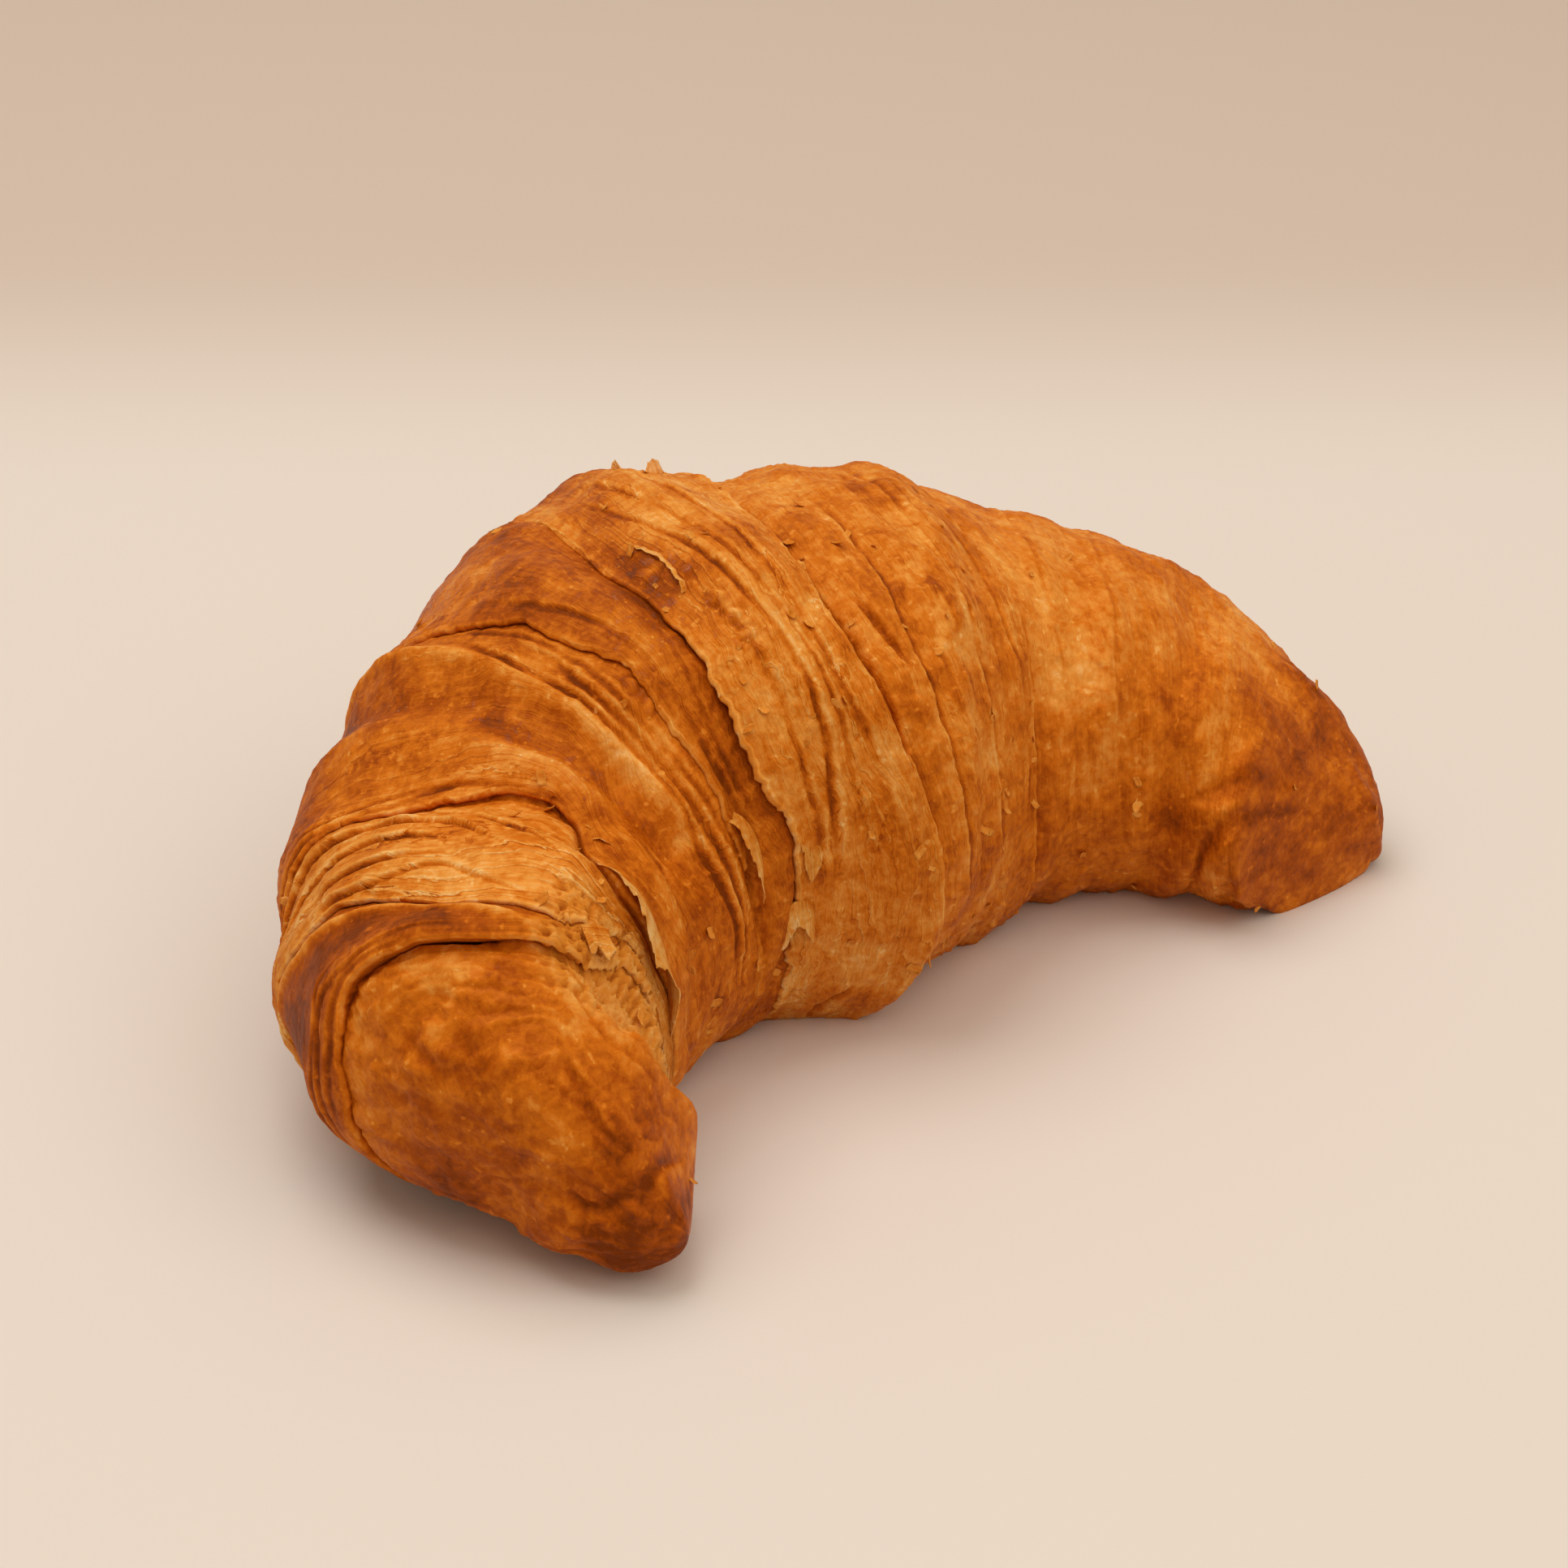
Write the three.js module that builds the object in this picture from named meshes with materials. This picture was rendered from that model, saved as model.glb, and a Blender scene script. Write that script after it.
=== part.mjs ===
// A baked croissant, rolled from one laminated dough triangle and bent into a crescent.
// It is one solid: a loaf-like section swept along a curved spine, with the wraps of the roll standing
// out as steps and grooves that run round the body. Millimetres, +Z up, resting flat on z = 0.
// +X runs from the left horn to the right one, and the horns curl towards -Y.
import * as THREE from "three";

// Driving sizes of the crescent
const LEFT_ARM = 81.5; // spine length from the middle to the left horn's end
const RIGHT_ARM = 86.5;
const BOX_CENTRE = { x: 1.6, y: -3.5 }; // centre of the plan's bounding box, seen from the spine's middle

// Each arm's heading turns by bend.even * t + bend.curl * t^3 + bend.hook * t^7 radians,
// where t is the share of the arm's length from the middle
const LEFT_BEND = { even: 1.19, curl: 0.56, hook: 0.52 };
const RIGHT_BEND = { even: 0.94, curl: 0.36, hook: 0.31 };

// Section sizes at stations along the arms, from the left end (-1) to the right end (1)
const STATIONS = [-1, -0.85, -0.7, -0.5, -0.25, 0, 0.25, 0.5, 0.7, 0.85, 1];
const OUTER_WIDTH = [5, 9, 22.5, 30, 33, 40, 31, 25.5, 18.5, 9.5, 4.5]; // spine to the outer side
const INNER_WIDTH = [16, 9.5, 13.5, 17, 24, 34, 28.5, 22, 22, 23.5, 19]; // spine to the hollow side
const HEIGHT = [12.5, 27, 38.5, 36.5, 50.5, 53.5, 50, 41, 32.5, 23, 10];
// Depth of the lower half, for each mm that it would need to reach the tray: above 1 it is pressed flat there
const BELLY = [0.9, 0.9, 0.94, 1, 1.18, 1.18, 1.18, 1.18, 1.1, 1.2, 1.2];
const WAIST = 0.46; // share of the height at which the section is widest
const SQUARENESS = 0.9; // 1 is an ellipse, less is boxier
const LEFT_END = { start: 0.84, power: 2.2 }; // where the rounded horn end begins, and how blunt it is
const RIGHT_END = { start: 0.88, power: 3.4 };

// The edges of the wraps. Each lies at a place along the spine, in mm from the middle, that changes with
// the angle round the section: 0 is the crescent's outer side, 90 the top, 180 the hollow side.
// step is how much higher the right-hand side stands, groove the depth of the crack along the edge.
const ANGLES = [0, 60, 90, 120, 150, 200];
const EDGES = [
  { name: "left collar", step: 2.6, groove: 1.6, at: [-60.3, -61.2, -63.8, -63.4, -61.2, -58.6] },
  { name: "collar crest", step: -0.4, groove: 1.6, at: [-48.3, -54, -61.2, -62.1, -59.6, -56.2] },
  { name: "first leaf", step: 0.8, groove: 0.8, at: [-46.5, -50, -58.9, -60.4, -58.2, -54.5] },
  { name: "second leaf", step: 0.9, groove: 0.9, at: [-44, -45, -55.4, -58.4, -56.2, -52.5] },
  { name: "torn sheet", step: 1.8, groove: 1.2, at: [-38, -39.6, -40.3, -53, -53.6, -50] },
  { name: "shoulder rim", step: -0.6, groove: 0.2, at: [-31.5, -32.3, -35.6, -38.8, -41, -39.5] },
  { name: "shoulder crest", step: 1.5, groove: 0.5, at: [-26.4, -28.2, -31.2, -34.3, -35.9, -34.5] },
  { name: "third leaf", step: 0.7, groove: 0.8, at: [-23.7, -26, -28.9, -31.8, -33.2, -31.8] },
  { name: "fourth leaf", step: 0.7, groove: 0.9, at: [-20.6, -23.4, -26, -29, -29.9, -28.5] },
  { name: "crown flap", step: 2.4, groove: 1.2, at: [-4, -11, -16.8, -21.9, -24, -22] },
  { name: "crown streak", step: 0.3, groove: 0.6, at: [1.5, -5.4, -8.5, -14.3, -17.5, -16.5] },
  { name: "crown end", step: -1.5, groove: 1.1, at: [13.8, 6.3, 2.4, -2.4, -4.3, -2.5] },
  { name: "right fold", step: -0.6, groove: 0.6, at: [24.2, 20, 17.1, 16.2, 16.4, 17] },
  { name: "right wrap", step: -1.6, groove: 1.1, at: [35.3, 31.4, 29.4, 28.8, 28.9, 29.4] },
  { name: "right leaf", step: -0.8, groove: 0.7, at: [51.5, 48.1, 45.5, 44.1, 43.5, 43.6] },
  { name: "right collar", step: -1.4, groove: 1.3, at: [67, 64, 61, 59.4, 58.6, 58.8] },
];
const CROWN_PER_MM = 0.055; // how much a wrap bulges between its edges, for each mm of its width
const MOST_CROWN = 1;
const GROOVE_HALF_WIDTH = 0.9;

// The fold that pinches the right horn, as a groove from its inner foot to its end
const FOLD = { from: { mm: 62.5, angle: 192 }, to: { mm: 79, angle: 146 }, depth: 2.6, half_width: 2.2 };

// Knobs and dents of the horns: height above the skin, at a place along the spine and an angle
const BUMPS = [
  { name: "left tip knob", mm: -77.4, angle: 150, height: 2, radius: 3.5 },
  { name: "left tip notch", mm: -74, angle: 135, height: -0.8, radius: 2.5 },
  { name: "left tip dimple", mm: -75.5, angle: 45, height: -1.4, radius: 3.5 },
  { name: "left horn cheek", mm: -67, angle: 60, height: 1.2, radius: 8 },
  { name: "fold behind the left horn", mm: -54, angle: 200, height: 2, radius: 4 },
  { name: "right tip cheek", mm: 78, angle: 166, height: 1.4, radius: 6 },
];

// Broad uneven lumps of the baked dough
const LUMPS = [
  { height: 0.5, along: 0.19, round: 2, phase: 0.4 },
  { height: 0.35, along: 0.41, round: 5, phase: 2.1 },
  { height: 0.25, along: 0.73, round: 3, phase: 4.0 },
];

// Fineness of the faceted skin
const ROWS = 40; // round the section
const COLUMN_MM = 2.3; // along the spine, between the edges of the wraps
const COLUMN_START = 0.25; // where the first ring of a band lies, in columns from the crack at its edge
const SPINE_STEPS = 400;

const radians = (degrees) => (degrees * Math.PI) / 180;
const clamp01 = (x) => Math.min(1, Math.max(0, x));
const mix = (a, b, share) => a + (b - a) * share;
const ease = (x) => x * x * (3 - 2 * x);

// A smooth curve through a table that never overshoots it (Fritsch and Carlson's slopes)
function smoothTable(xs, ys) {
  const slope = xs.slice(1).map((x, i) => (ys[i + 1] - ys[i]) / (x - xs[i]));
  const tangent = ys.map((_, i) => {
    if (i === 0) return slope[0];
    if (i === slope.length) return slope[i - 1];
    const product = slope[i - 1] * slope[i];
    return product <= 0 ? 0 : (2 * product) / (slope[i - 1] + slope[i]);
  });
  return (x) => {
    const last = xs.length - 2;
    let i = 0;
    while (i < last && x > xs[i + 1]) i += 1;
    const width = xs[i + 1] - xs[i];
    const s = clamp01((x - xs[i]) / width);
    const rise = ys[i] * (1 + 2 * s) * (1 - s) ** 2 + ys[i + 1] * s * s * (3 - 2 * s);
    return rise + width * s * (1 - s) * (tangent[i] * (1 - s) - tangent[i + 1] * s);
  };
}

const outerAt = smoothTable(STATIONS, OUTER_WIDTH);
const innerAt = smoothTable(STATIONS, INNER_WIDTH);
const heightAt = smoothTable(STATIONS, HEIGHT);
const bellyAt = smoothTable(STATIONS, BELLY);

const shareOfArm = (mm) => (mm < 0 ? mm / LEFT_ARM : mm / RIGHT_ARM);

function headingAt(mm) {
  const t = shareOfArm(mm);
  const bend = t < 0 ? LEFT_BEND : RIGHT_BEND;
  return -(bend.even * t + bend.curl * t ** 3 + bend.hook * t ** 7);
}

// The spine's plan, walked in short steps from the middle to each end
function walkArm(length) {
  const step = length / SPINE_STEPS;
  const points = [{ x: 0, y: 0 }];
  for (let i = 0; i < SPINE_STEPS; i += 1) {
    const heading = headingAt((i + 0.5) * step);
    const last = points[i];
    points.push({ x: last.x + Math.cos(heading) * step, y: last.y + Math.sin(heading) * step });
  }
  return points;
}
const leftWalk = walkArm(-LEFT_ARM);
const rightWalk = walkArm(RIGHT_ARM);

function spineAt(mm) {
  const walk = mm < 0 ? leftWalk : rightWalk;
  const place = Math.min(Math.abs(shareOfArm(mm)) * SPINE_STEPS, SPINE_STEPS - 1e-6);
  const i = Math.floor(place);
  const a = walk[i];
  const b = walk[i + 1];
  return { x: mix(a.x, b.x, place - i), y: mix(a.y, b.y, place - i) };
}

// How much of the full section is left in the rounded end of a horn
function endRounding(mm) {
  const end = mm < 0 ? LEFT_END : RIGHT_END;
  const into = clamp01((Math.abs(shareOfArm(mm)) - end.start) / (1 - end.start));
  return (1 - into ** end.power) ** (1 / end.power);
}

// Where an edge lies at an angle: its table, then a straight run back under the base
function edgePlace(edge) {
  const shown = smoothTable(ANGLES, edge.at);
  const lastAngle = ANGLES[ANGLES.length - 1];
  const lastPlace = edge.at[edge.at.length - 1];
  return (angle) =>
    angle <= lastAngle ? shown(angle) : mix(lastPlace, edge.at[0], (angle - lastAngle) / (360 - lastAngle));
}
const edgePlaces = EDGES.map(edgePlace);

// A row of places along the spine for each band between two edges, the same number at every angle
const bandEnds = [() => -LEFT_ARM, ...edgePlaces, () => RIGHT_ARM];
const bandSteps = [null, ...EDGES, null];
const flat = { step: 0, groove: 0 };

function bandColumns(index) {
  const width = bandEnds[index + 1](90) - bandEnds[index](90);
  return Math.max(3, Math.round(width / COLUMN_MM));
}

// Relief of the skin over the plain section, at a share of the way across a band
function relief(index, share, mm, angle) {
  const left = bandSteps[index] ?? flat;
  const right = bandSteps[index + 1] ?? flat;
  const width = bandEnds[index + 1](angle) - bandEnds[index](angle);
  const crown = Math.min(MOST_CROWN, CROWN_PER_MM * width) * 4 * share * (1 - share);
  const tilt = mix(left.step / 2, -right.step / 2, ease(share));
  const fromLeft = (share * width) / GROOVE_HALF_WIDTH;
  const fromRight = ((1 - share) * width) / GROOVE_HALF_WIDTH;
  const crack = left.groove * Math.exp(-fromLeft * fromLeft) + right.groove * Math.exp(-fromRight * fromRight);
  const lumps = LUMPS.reduce(
    (sum, l) => sum + l.height * Math.sin(l.along * mm + l.round * radians(angle) + l.phase),
    0,
  );
  return crown + tilt - crack + lumps + bumpHeight(mm, angle) - foldDepth(mm, angle);
}

// Height of the knobs and dents at a place
function bumpHeight(mm, angle) {
  const radius = heightAt(shareOfArm(mm)) / 2;
  return BUMPS.reduce((sum, bump) => {
    const round = radians(angle - bump.angle) * radius;
    const reach = ((mm - bump.mm) ** 2 + round ** 2) / bump.radius ** 2;
    return sum + bump.height * Math.exp(-reach);
  }, 0);
}

// Depth of the right horn's fold, none at either end of it
function foldDepth(mm, angle) {
  const share = (mm - FOLD.from.mm) / (FOLD.to.mm - FOLD.from.mm);
  if (share < 0 || share > 1) return 0;
  const radius = innerAt(shareOfArm(mm));
  const off = radians(angle - mix(FOLD.from.angle, FOLD.to.angle, share)) * radius;
  return FOLD.depth * Math.sqrt(Math.sin(Math.PI * share)) * Math.exp(-((off / FOLD.half_width) ** 2));
}

// A point of the skin: the plain section pushed out by the relief, then pressed flat by the tray
function skinPoint(index, share, mm, angle) {
  const rounding = endRounding(mm);
  const t = shareOfArm(mm);
  const turn = radians(angle);
  const across = Math.cos(turn);
  const up = Math.sin(turn);
  const push = relief(index, share, mm, angle) * rounding;
  const side = (across > 0 ? outerAt(t) : innerAt(t)) * rounding;
  const half = heightAt(t) * (up > 0 ? 1 - WAIST : WAIST * bellyAt(t)) * rounding;
  const y = Math.sign(across) * Math.abs(across) ** SQUARENESS * (side + push);
  const z = Math.sign(up) * Math.abs(up) ** SQUARENESS * (half + push) + heightAt(t) * WAIST;
  const heading = headingAt(mm);
  const spine = spineAt(mm);
  return [
    spine.x - Math.sin(heading) * y - BOX_CENTRE.x,
    spine.y + Math.cos(heading) * y - BOX_CENTRE.y,
    Math.max(z, 0),
  ];
}

// The rings of the skin from the left horn to the right one
function rings() {
  const made = [];
  const bands = bandEnds.length - 1;
  for (let index = 0; index < bands; index += 1) {
    const columns = bandColumns(index);
    for (let column = 0; column < columns; column += 1) {
      const share = (column + COLUMN_START) / columns;
      const ring = [];
      for (let row = 0; row < ROWS; row += 1) {
        const angle = (360 * row) / ROWS;
        const mm = mix(bandEnds[index](angle), bandEnds[index + 1](angle), share);
        ring.push(skinPoint(index, share, mm, angle));
      }
      made.push(ring);
    }
  }
  return made;
}

// The closed skin: a pole at each horn's end and strips of triangles between the rings
function croissantGeometry() {
  const skin = rings();
  const positions = [];
  const faces = [];
  const firstPole = skinPoint(0, 0, -LEFT_ARM, 90);
  const lastPole = skinPoint(bandEnds.length - 2, 1, RIGHT_ARM, 90);
  positions.push(...firstPole);
  skin.forEach((ring) => ring.forEach((point) => positions.push(...point)));
  positions.push(...lastPole);
  const vertex = (ring, row) => 1 + ring * ROWS + (row % ROWS);
  const lastVertex = 1 + skin.length * ROWS;
  for (let row = 0; row < ROWS; row += 1) {
    faces.push(0, vertex(0, row + 1), vertex(0, row));
    for (let ring = 0; ring + 1 < skin.length; ring += 1) {
      const a = vertex(ring, row);
      const b = vertex(ring + 1, row);
      const c = vertex(ring + 1, row + 1);
      const d = vertex(ring, row + 1);
      faces.push(a, c, b, a, d, c);
    }
    faces.push(lastVertex, vertex(skin.length - 1, row), vertex(skin.length - 1, row + 1));
  }
  const geometry = new THREE.BufferGeometry();
  geometry.setAttribute("position", new THREE.Float32BufferAttribute(positions, 3));
  geometry.setIndex(faces);
  geometry.computeVertexNormals();
  return geometry;
}

const crust = new THREE.MeshStandardMaterial({ color: 0xb8651f, roughness: 0.45, metalness: 0 });

const croissant = new THREE.Mesh(croissantGeometry(), crust);
croissant.name = "croissant";

const part = new THREE.Group();
part.add(croissant);

export default part;
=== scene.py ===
"""The croissant's looks: every wrap of the roll as its own fine crust, with torn leaves and flakes."""

import math

import bmesh
import bpy
import numpy as np
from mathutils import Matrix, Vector


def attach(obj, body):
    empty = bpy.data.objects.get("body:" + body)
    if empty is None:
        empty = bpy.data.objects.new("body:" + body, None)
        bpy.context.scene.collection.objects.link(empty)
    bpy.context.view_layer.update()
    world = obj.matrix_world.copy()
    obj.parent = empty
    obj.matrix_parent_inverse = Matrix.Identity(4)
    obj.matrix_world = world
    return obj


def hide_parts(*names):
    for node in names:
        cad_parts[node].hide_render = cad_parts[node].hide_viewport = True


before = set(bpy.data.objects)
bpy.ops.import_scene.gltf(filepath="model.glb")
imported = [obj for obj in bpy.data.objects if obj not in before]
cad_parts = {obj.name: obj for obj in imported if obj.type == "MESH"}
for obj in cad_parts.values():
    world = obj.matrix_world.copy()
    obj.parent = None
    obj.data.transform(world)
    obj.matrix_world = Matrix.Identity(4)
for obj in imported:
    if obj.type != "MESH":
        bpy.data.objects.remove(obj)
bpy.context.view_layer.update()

MM = 0.001

# Driving sizes of the crescent, in mm, the same as the solid's
LEFT_ARM = 81.5
RIGHT_ARM = 86.5
BOX_CENTRE = (1.6, -3.5)
LEFT_BEND = (1.19, 0.56, 0.52)
RIGHT_BEND = (0.94, 0.36, 0.31)
STATIONS = (-1, -0.85, -0.7, -0.5, -0.25, 0, 0.25, 0.5, 0.7, 0.85, 1)
OUTER_WIDTH = (5, 9, 22.5, 30, 33, 40, 31, 25.5, 18.5, 9.5, 4.5)
INNER_WIDTH = (16, 9.5, 13.5, 17, 24, 34, 28.5, 22, 22, 23.5, 19)
HEIGHT = (12.5, 27, 38.5, 36.5, 50.5, 53.5, 50, 41, 32.5, 23, 10)
BELLY = (0.9, 0.9, 0.94, 1, 1.18, 1.18, 1.18, 1.18, 1.1, 1.2, 1.2)
WAIST = 0.46
SQUARENESS = 0.9
LEFT_END = (0.84, 2.2)
RIGHT_END = (0.88, 3.4)

# Where the edge of each wrap lies along the spine, in mm from the middle, at these angles round the
# section: 0 is the convex side, 90 the top and 180 the hollow side.
EDGE_ANGLES = (0, 30, 50, 70, 85, 100, 115, 130, 150, 175, 205, 340, 360)
EDGES = {
    "collar": (-58.9, -57.4, -59.4, -62.2, -63.7, -64.8, -64.6, -63.9, -63.4, -63.2, -63.5, -59.0, -58.9),
    "leaves": (-47.8, -48.9, -51.4, -56.8, -60.0, -62.0, -62.3, -61.8, -61.2, -60.8, -60.5, -49.5, -47.8),
    "sheet": (-42.5, -41.5, -40.2, -39.7, -38.1, -42.2, -53.5, -58.0, -58.5, -58.0, -57.0, -43.5, -42.5),
    "crest": (-22.5, -22.5, -22.6, -22.8, -24.2, -25.7, -27.6, -28.9, -29.8, -28.5, -27.5, -22.5, -22.5),
    "crown": (-2.0, -3.8, -6.4, -10.6, -14.3, -17.6, -20.2, -22.4, -24.1, -21.5, -19.5, -3.0, -2.0),
    "saddle": (13.5, 12.0, 10.5, 8.3, 5.2, 1.9, -0.3, -2.4, -3.0, 0.0, 3.0, 12.5, 13.5),
    "right wrap": (35.0, 33.5, 32.0, 30.5, 29.8, 30.3, 32.0, 32.4, 31.8, 31.2, 31.6, 35.0, 35.0),
    "right collar": (65.0, 63.5, 62.0, 61.0, 60.5, 60.2, 59.8, 59.0, 57.9, 57.8, 60.5, 65.0, 65.0),
    "shoulder band": (
        -28.5, -28.6, -29.6, -30.8, -33.1, -35.2, -36.7, -38.0, -37.5, -36.5, -35.5, -29.0, -28.5,
    ),
    "shoulder ridge": (
        -24.0, -24.5, -25.4, -27.4, -29.3, -31.5, -32.9, -33.6, -34.9, -34.2, -33.5, -24.5, -24.0,
    ),
}
STEP_ANGLES = (-90, 0, 50, 90, 130, 180, 270)
STEPS = {  # how much higher in mm the right side stands at each edge, at those angles
    "tip": (0, 0, 0, 0, 0, 0, 0),
    "collar": (0.4, 0.7, 1.7, 1.6, 0.9, 0.5, 0.4),
    "leaves": (0.2, 0.2, 0.2, 0.2, 0.2, 0.2, 0.2),
    "sheet": (0.5, 0.5, 0.5, 0.8, 0.9, 0.5, 0.5),
    "crest": (0.4, 0.4, 0.5, 0.5, 0.3, 0.2, 0.4),
    "crown": (0.1, 0.1, 0.1, 0.3, 1.0, 0.5, 0.1),
    "saddle": (-0.8, -1.2, -1.3, -1.4, -0.7, -0.5, -0.8),
    "right wrap": (-0.4, -0.5, -0.7, -0.8, -0.8, -0.5, -0.4),
}
CRACKS = {  # how deep in mm the crevice is where a wrap meets the one that lies over it, at those angles
    "collar": (0.1, 0.3, 0.6, 0.6, 0.4, 0.2, 0.1),
    "leaves": (0.3, 0.4, 0.5, 0.5, 0.4, 0.3, 0.3),
    "sheet": (0.2, 0.2, 0.3, 0.5, 0.4, 0.2, 0.2),
    "crest": (0.1, 0.1, 0.25, 0.25, 0.15, 0.1, 0.1),
    "crown": (0.0, 0.0, 0.0, 0.1, 0.3, 0.15, 0.0),
    "saddle": (0.2, 0.2, 0.2, 0.35, 0.35, 0.2, 0.2),
    "right wrap": (0.2, 0.3, 0.3, 0.35, 0.35, 0.3, 0.2),
}
RAGGED = {"crown": 0.9, "leaves": 0.5, "crest": 0.5}  # how far in mm a torn edge strays, 0.35 elsewhere
TORN_FROM = {"crown": 98}  # up to this angle the edge is a soft fold, and beyond it a torn lip

SPINE = np.linspace(-LEFT_ARM, RIGHT_ARM, 1681)


def smooth_table(xs, ys):
    """A smooth curve through a table that never overshoots it."""
    xs, ys = np.asarray(xs, float), np.asarray(ys, float)
    step = np.diff(xs)
    slope = np.diff(ys) / step
    product = slope[:-1] * slope[1:]
    total = np.where(product > 0, slope[:-1] + slope[1:], 1)
    tangent = np.concatenate([slope[:1], np.where(product > 0, 2 * product / total, 0), slope[-1:]])

    def curve(x):
        i = np.clip(np.searchsorted(xs, x, side="right") - 1, 0, len(xs) - 2)
        s = np.clip((x - xs[i]) / step[i], 0, 1)
        rise = ys[i] * (1 + 2 * s) * (1 - s) ** 2 + ys[i + 1] * s * s * (3 - 2 * s)
        return rise + step[i] * s * (1 - s) * (tangent[i] * (1 - s) - tangent[i + 1] * s)

    return curve


def smoothstep(low, high, x):
    s = np.clip((x - low) / (high - low), 0, 1)
    return s * s * (3 - 2 * s)


outer_at, inner_at, height_at, belly_at = (
    smooth_table(STATIONS, sizes) for sizes in (OUTER_WIDTH, INNER_WIDTH, HEIGHT, BELLY)
)
edge_at = {}
for edge, places in EDGES.items():
    edge_curve = smooth_table(EDGE_ANGLES, places)
    edge_at[edge] = lambda angle, curve=edge_curve: curve(np.mod(angle, 360))
step_at = {edge: smooth_table(STEP_ANGLES, rises) for edge, rises in STEPS.items()}
crack_at = {edge: smooth_table(STEP_ANGLES, depths) for edge, depths in CRACKS.items()}


def share_of_arm(mm):
    return np.where(mm < 0, mm / LEFT_ARM, mm / RIGHT_ARM)


def heading_at(mm):
    t = share_of_arm(mm)
    left, right = (b[0] * t + b[1] * t**3 + b[2] * t**7 for b in (LEFT_BEND, RIGHT_BEND))
    return -np.where(mm < 0, left, right)


def walk_spine():
    """The spine's plan, summed up in short steps, with the middle at the origin."""
    heading = heading_at((SPINE[1:] + SPINE[:-1]) / 2)
    step = np.diff(SPINE)
    x = np.concatenate([[0], np.cumsum(np.cos(heading) * step)])
    y = np.concatenate([[0], np.cumsum(np.sin(heading) * step)])
    return x - np.interp(0, SPINE, x), y - np.interp(0, SPINE, y)


spine_x, spine_y = walk_spine()
spine_turn = -np.gradient(heading_at(SPINE), SPINE)


def end_rounding(mm):
    t = np.abs(share_of_arm(mm))
    start = np.where(mm < 0, LEFT_END[0], RIGHT_END[0])
    power = np.where(mm < 0, LEFT_END[1], RIGHT_END[1])
    into = np.clip((t - start) / (1 - start), 0, 1)
    return (1 - into**power) ** (1 / power)


def skin(mm, angle, push):
    """Points of the body in mm: the plain section, pushed out, then pressed flat by the tray."""
    t = share_of_arm(mm)
    rounding = end_rounding(mm)
    across, up = np.cos(np.radians(angle)), np.sin(np.radians(angle))
    side = np.where(across > 0, outer_at(t), inner_at(t)) * rounding
    half = height_at(t) * np.where(up > 0, 1 - WAIST, WAIST * belly_at(t)) * rounding
    lateral = np.sign(across) * np.abs(across) ** SQUARENESS * (side + push * rounding)
    z = np.sign(up) * np.abs(up) ** SQUARENESS * (half + push * rounding) + height_at(t) * WAIST
    heading = heading_at(mm)
    x = np.interp(mm, SPINE, spine_x) - np.sin(heading) * lateral - BOX_CENTRE[0]
    y = np.interp(mm, SPINE, spine_y) + np.cos(heading) * lateral - BOX_CENTRE[1]
    return np.stack([x, y, np.maximum(z, 0)], -1)


def stretch_at(mm, angle):
    """How many mm of skin lie along the body for each mm of spine."""
    across = np.cos(np.radians(angle))
    side = np.where(across > 0, outer_at(share_of_arm(mm)), inner_at(share_of_arm(mm)))
    return np.maximum(1 + side * across * np.interp(mm, SPINE, spine_turn), 0.35)


def arc_at(mm, angle):
    """Mm of skin round the section from the bottom, about."""
    t = share_of_arm(mm)
    radius = (outer_at(t) + inner_at(t) + height_at(t)) / 4
    return radius * np.radians(angle + 90)


# Seeded gradient noise, so that every run gives the same crust
random = np.random.default_rng(11)
HASH = random.permutation(256)
GRADIENTS = random.normal(size=(256, 3))
GRADIENTS /= np.linalg.norm(GRADIENTS, axis=1)[:, None]


def noise(x, y, z, seed=0):
    """Gradient noise from about -1 to 1, at coordinates already divided by the wavelength."""
    place = np.stack(np.broadcast_arrays(x + 13.7 * seed, y - 7.3 * seed, z + 3.1 * seed), -1)
    cell = np.floor(place)
    f = place - cell
    cell = cell.astype(np.int64)
    fade = f * f * f * (f * (f * 6 - 15) + 10)
    total = np.zeros(place.shape[:-1])
    for corner in np.ndindex(2, 2, 2):
        c = cell + corner
        index = HASH[(c[..., 0] + HASH[(c[..., 1] + HASH[c[..., 2] & 255]) & 255]) & 255]
        weight = np.prod(np.where(np.array(corner) == 1, fade, 1 - fade), -1)
        total += weight * np.einsum("...i,...i->...", GRADIENTS[index], f - corner)
    return total * 1.7


def layered(x, y, z, seed, octaves):
    """Noise with finer and weaker layers added."""
    total, size = 0, 1.0
    for octave in range(octaves):
        scale = 2.0**octave
        total = total + size * noise(x * scale, y * scale, z * scale, seed + octave)
        size *= 0.5
    return total


def turned(angle):
    """The angle counted from the bottom of the outer side, -90, round to 270."""
    return np.mod(angle + 90, 360) - 90


def line_through(points):
    """A line on the skin through (angle, mm) points, as mm along the spine at any angle."""
    angles, places = zip(*points)
    curve = smooth_table(angles, places)
    return lambda angle: curve(np.clip(turned(angle), angles[0], angles[-1]))


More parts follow.
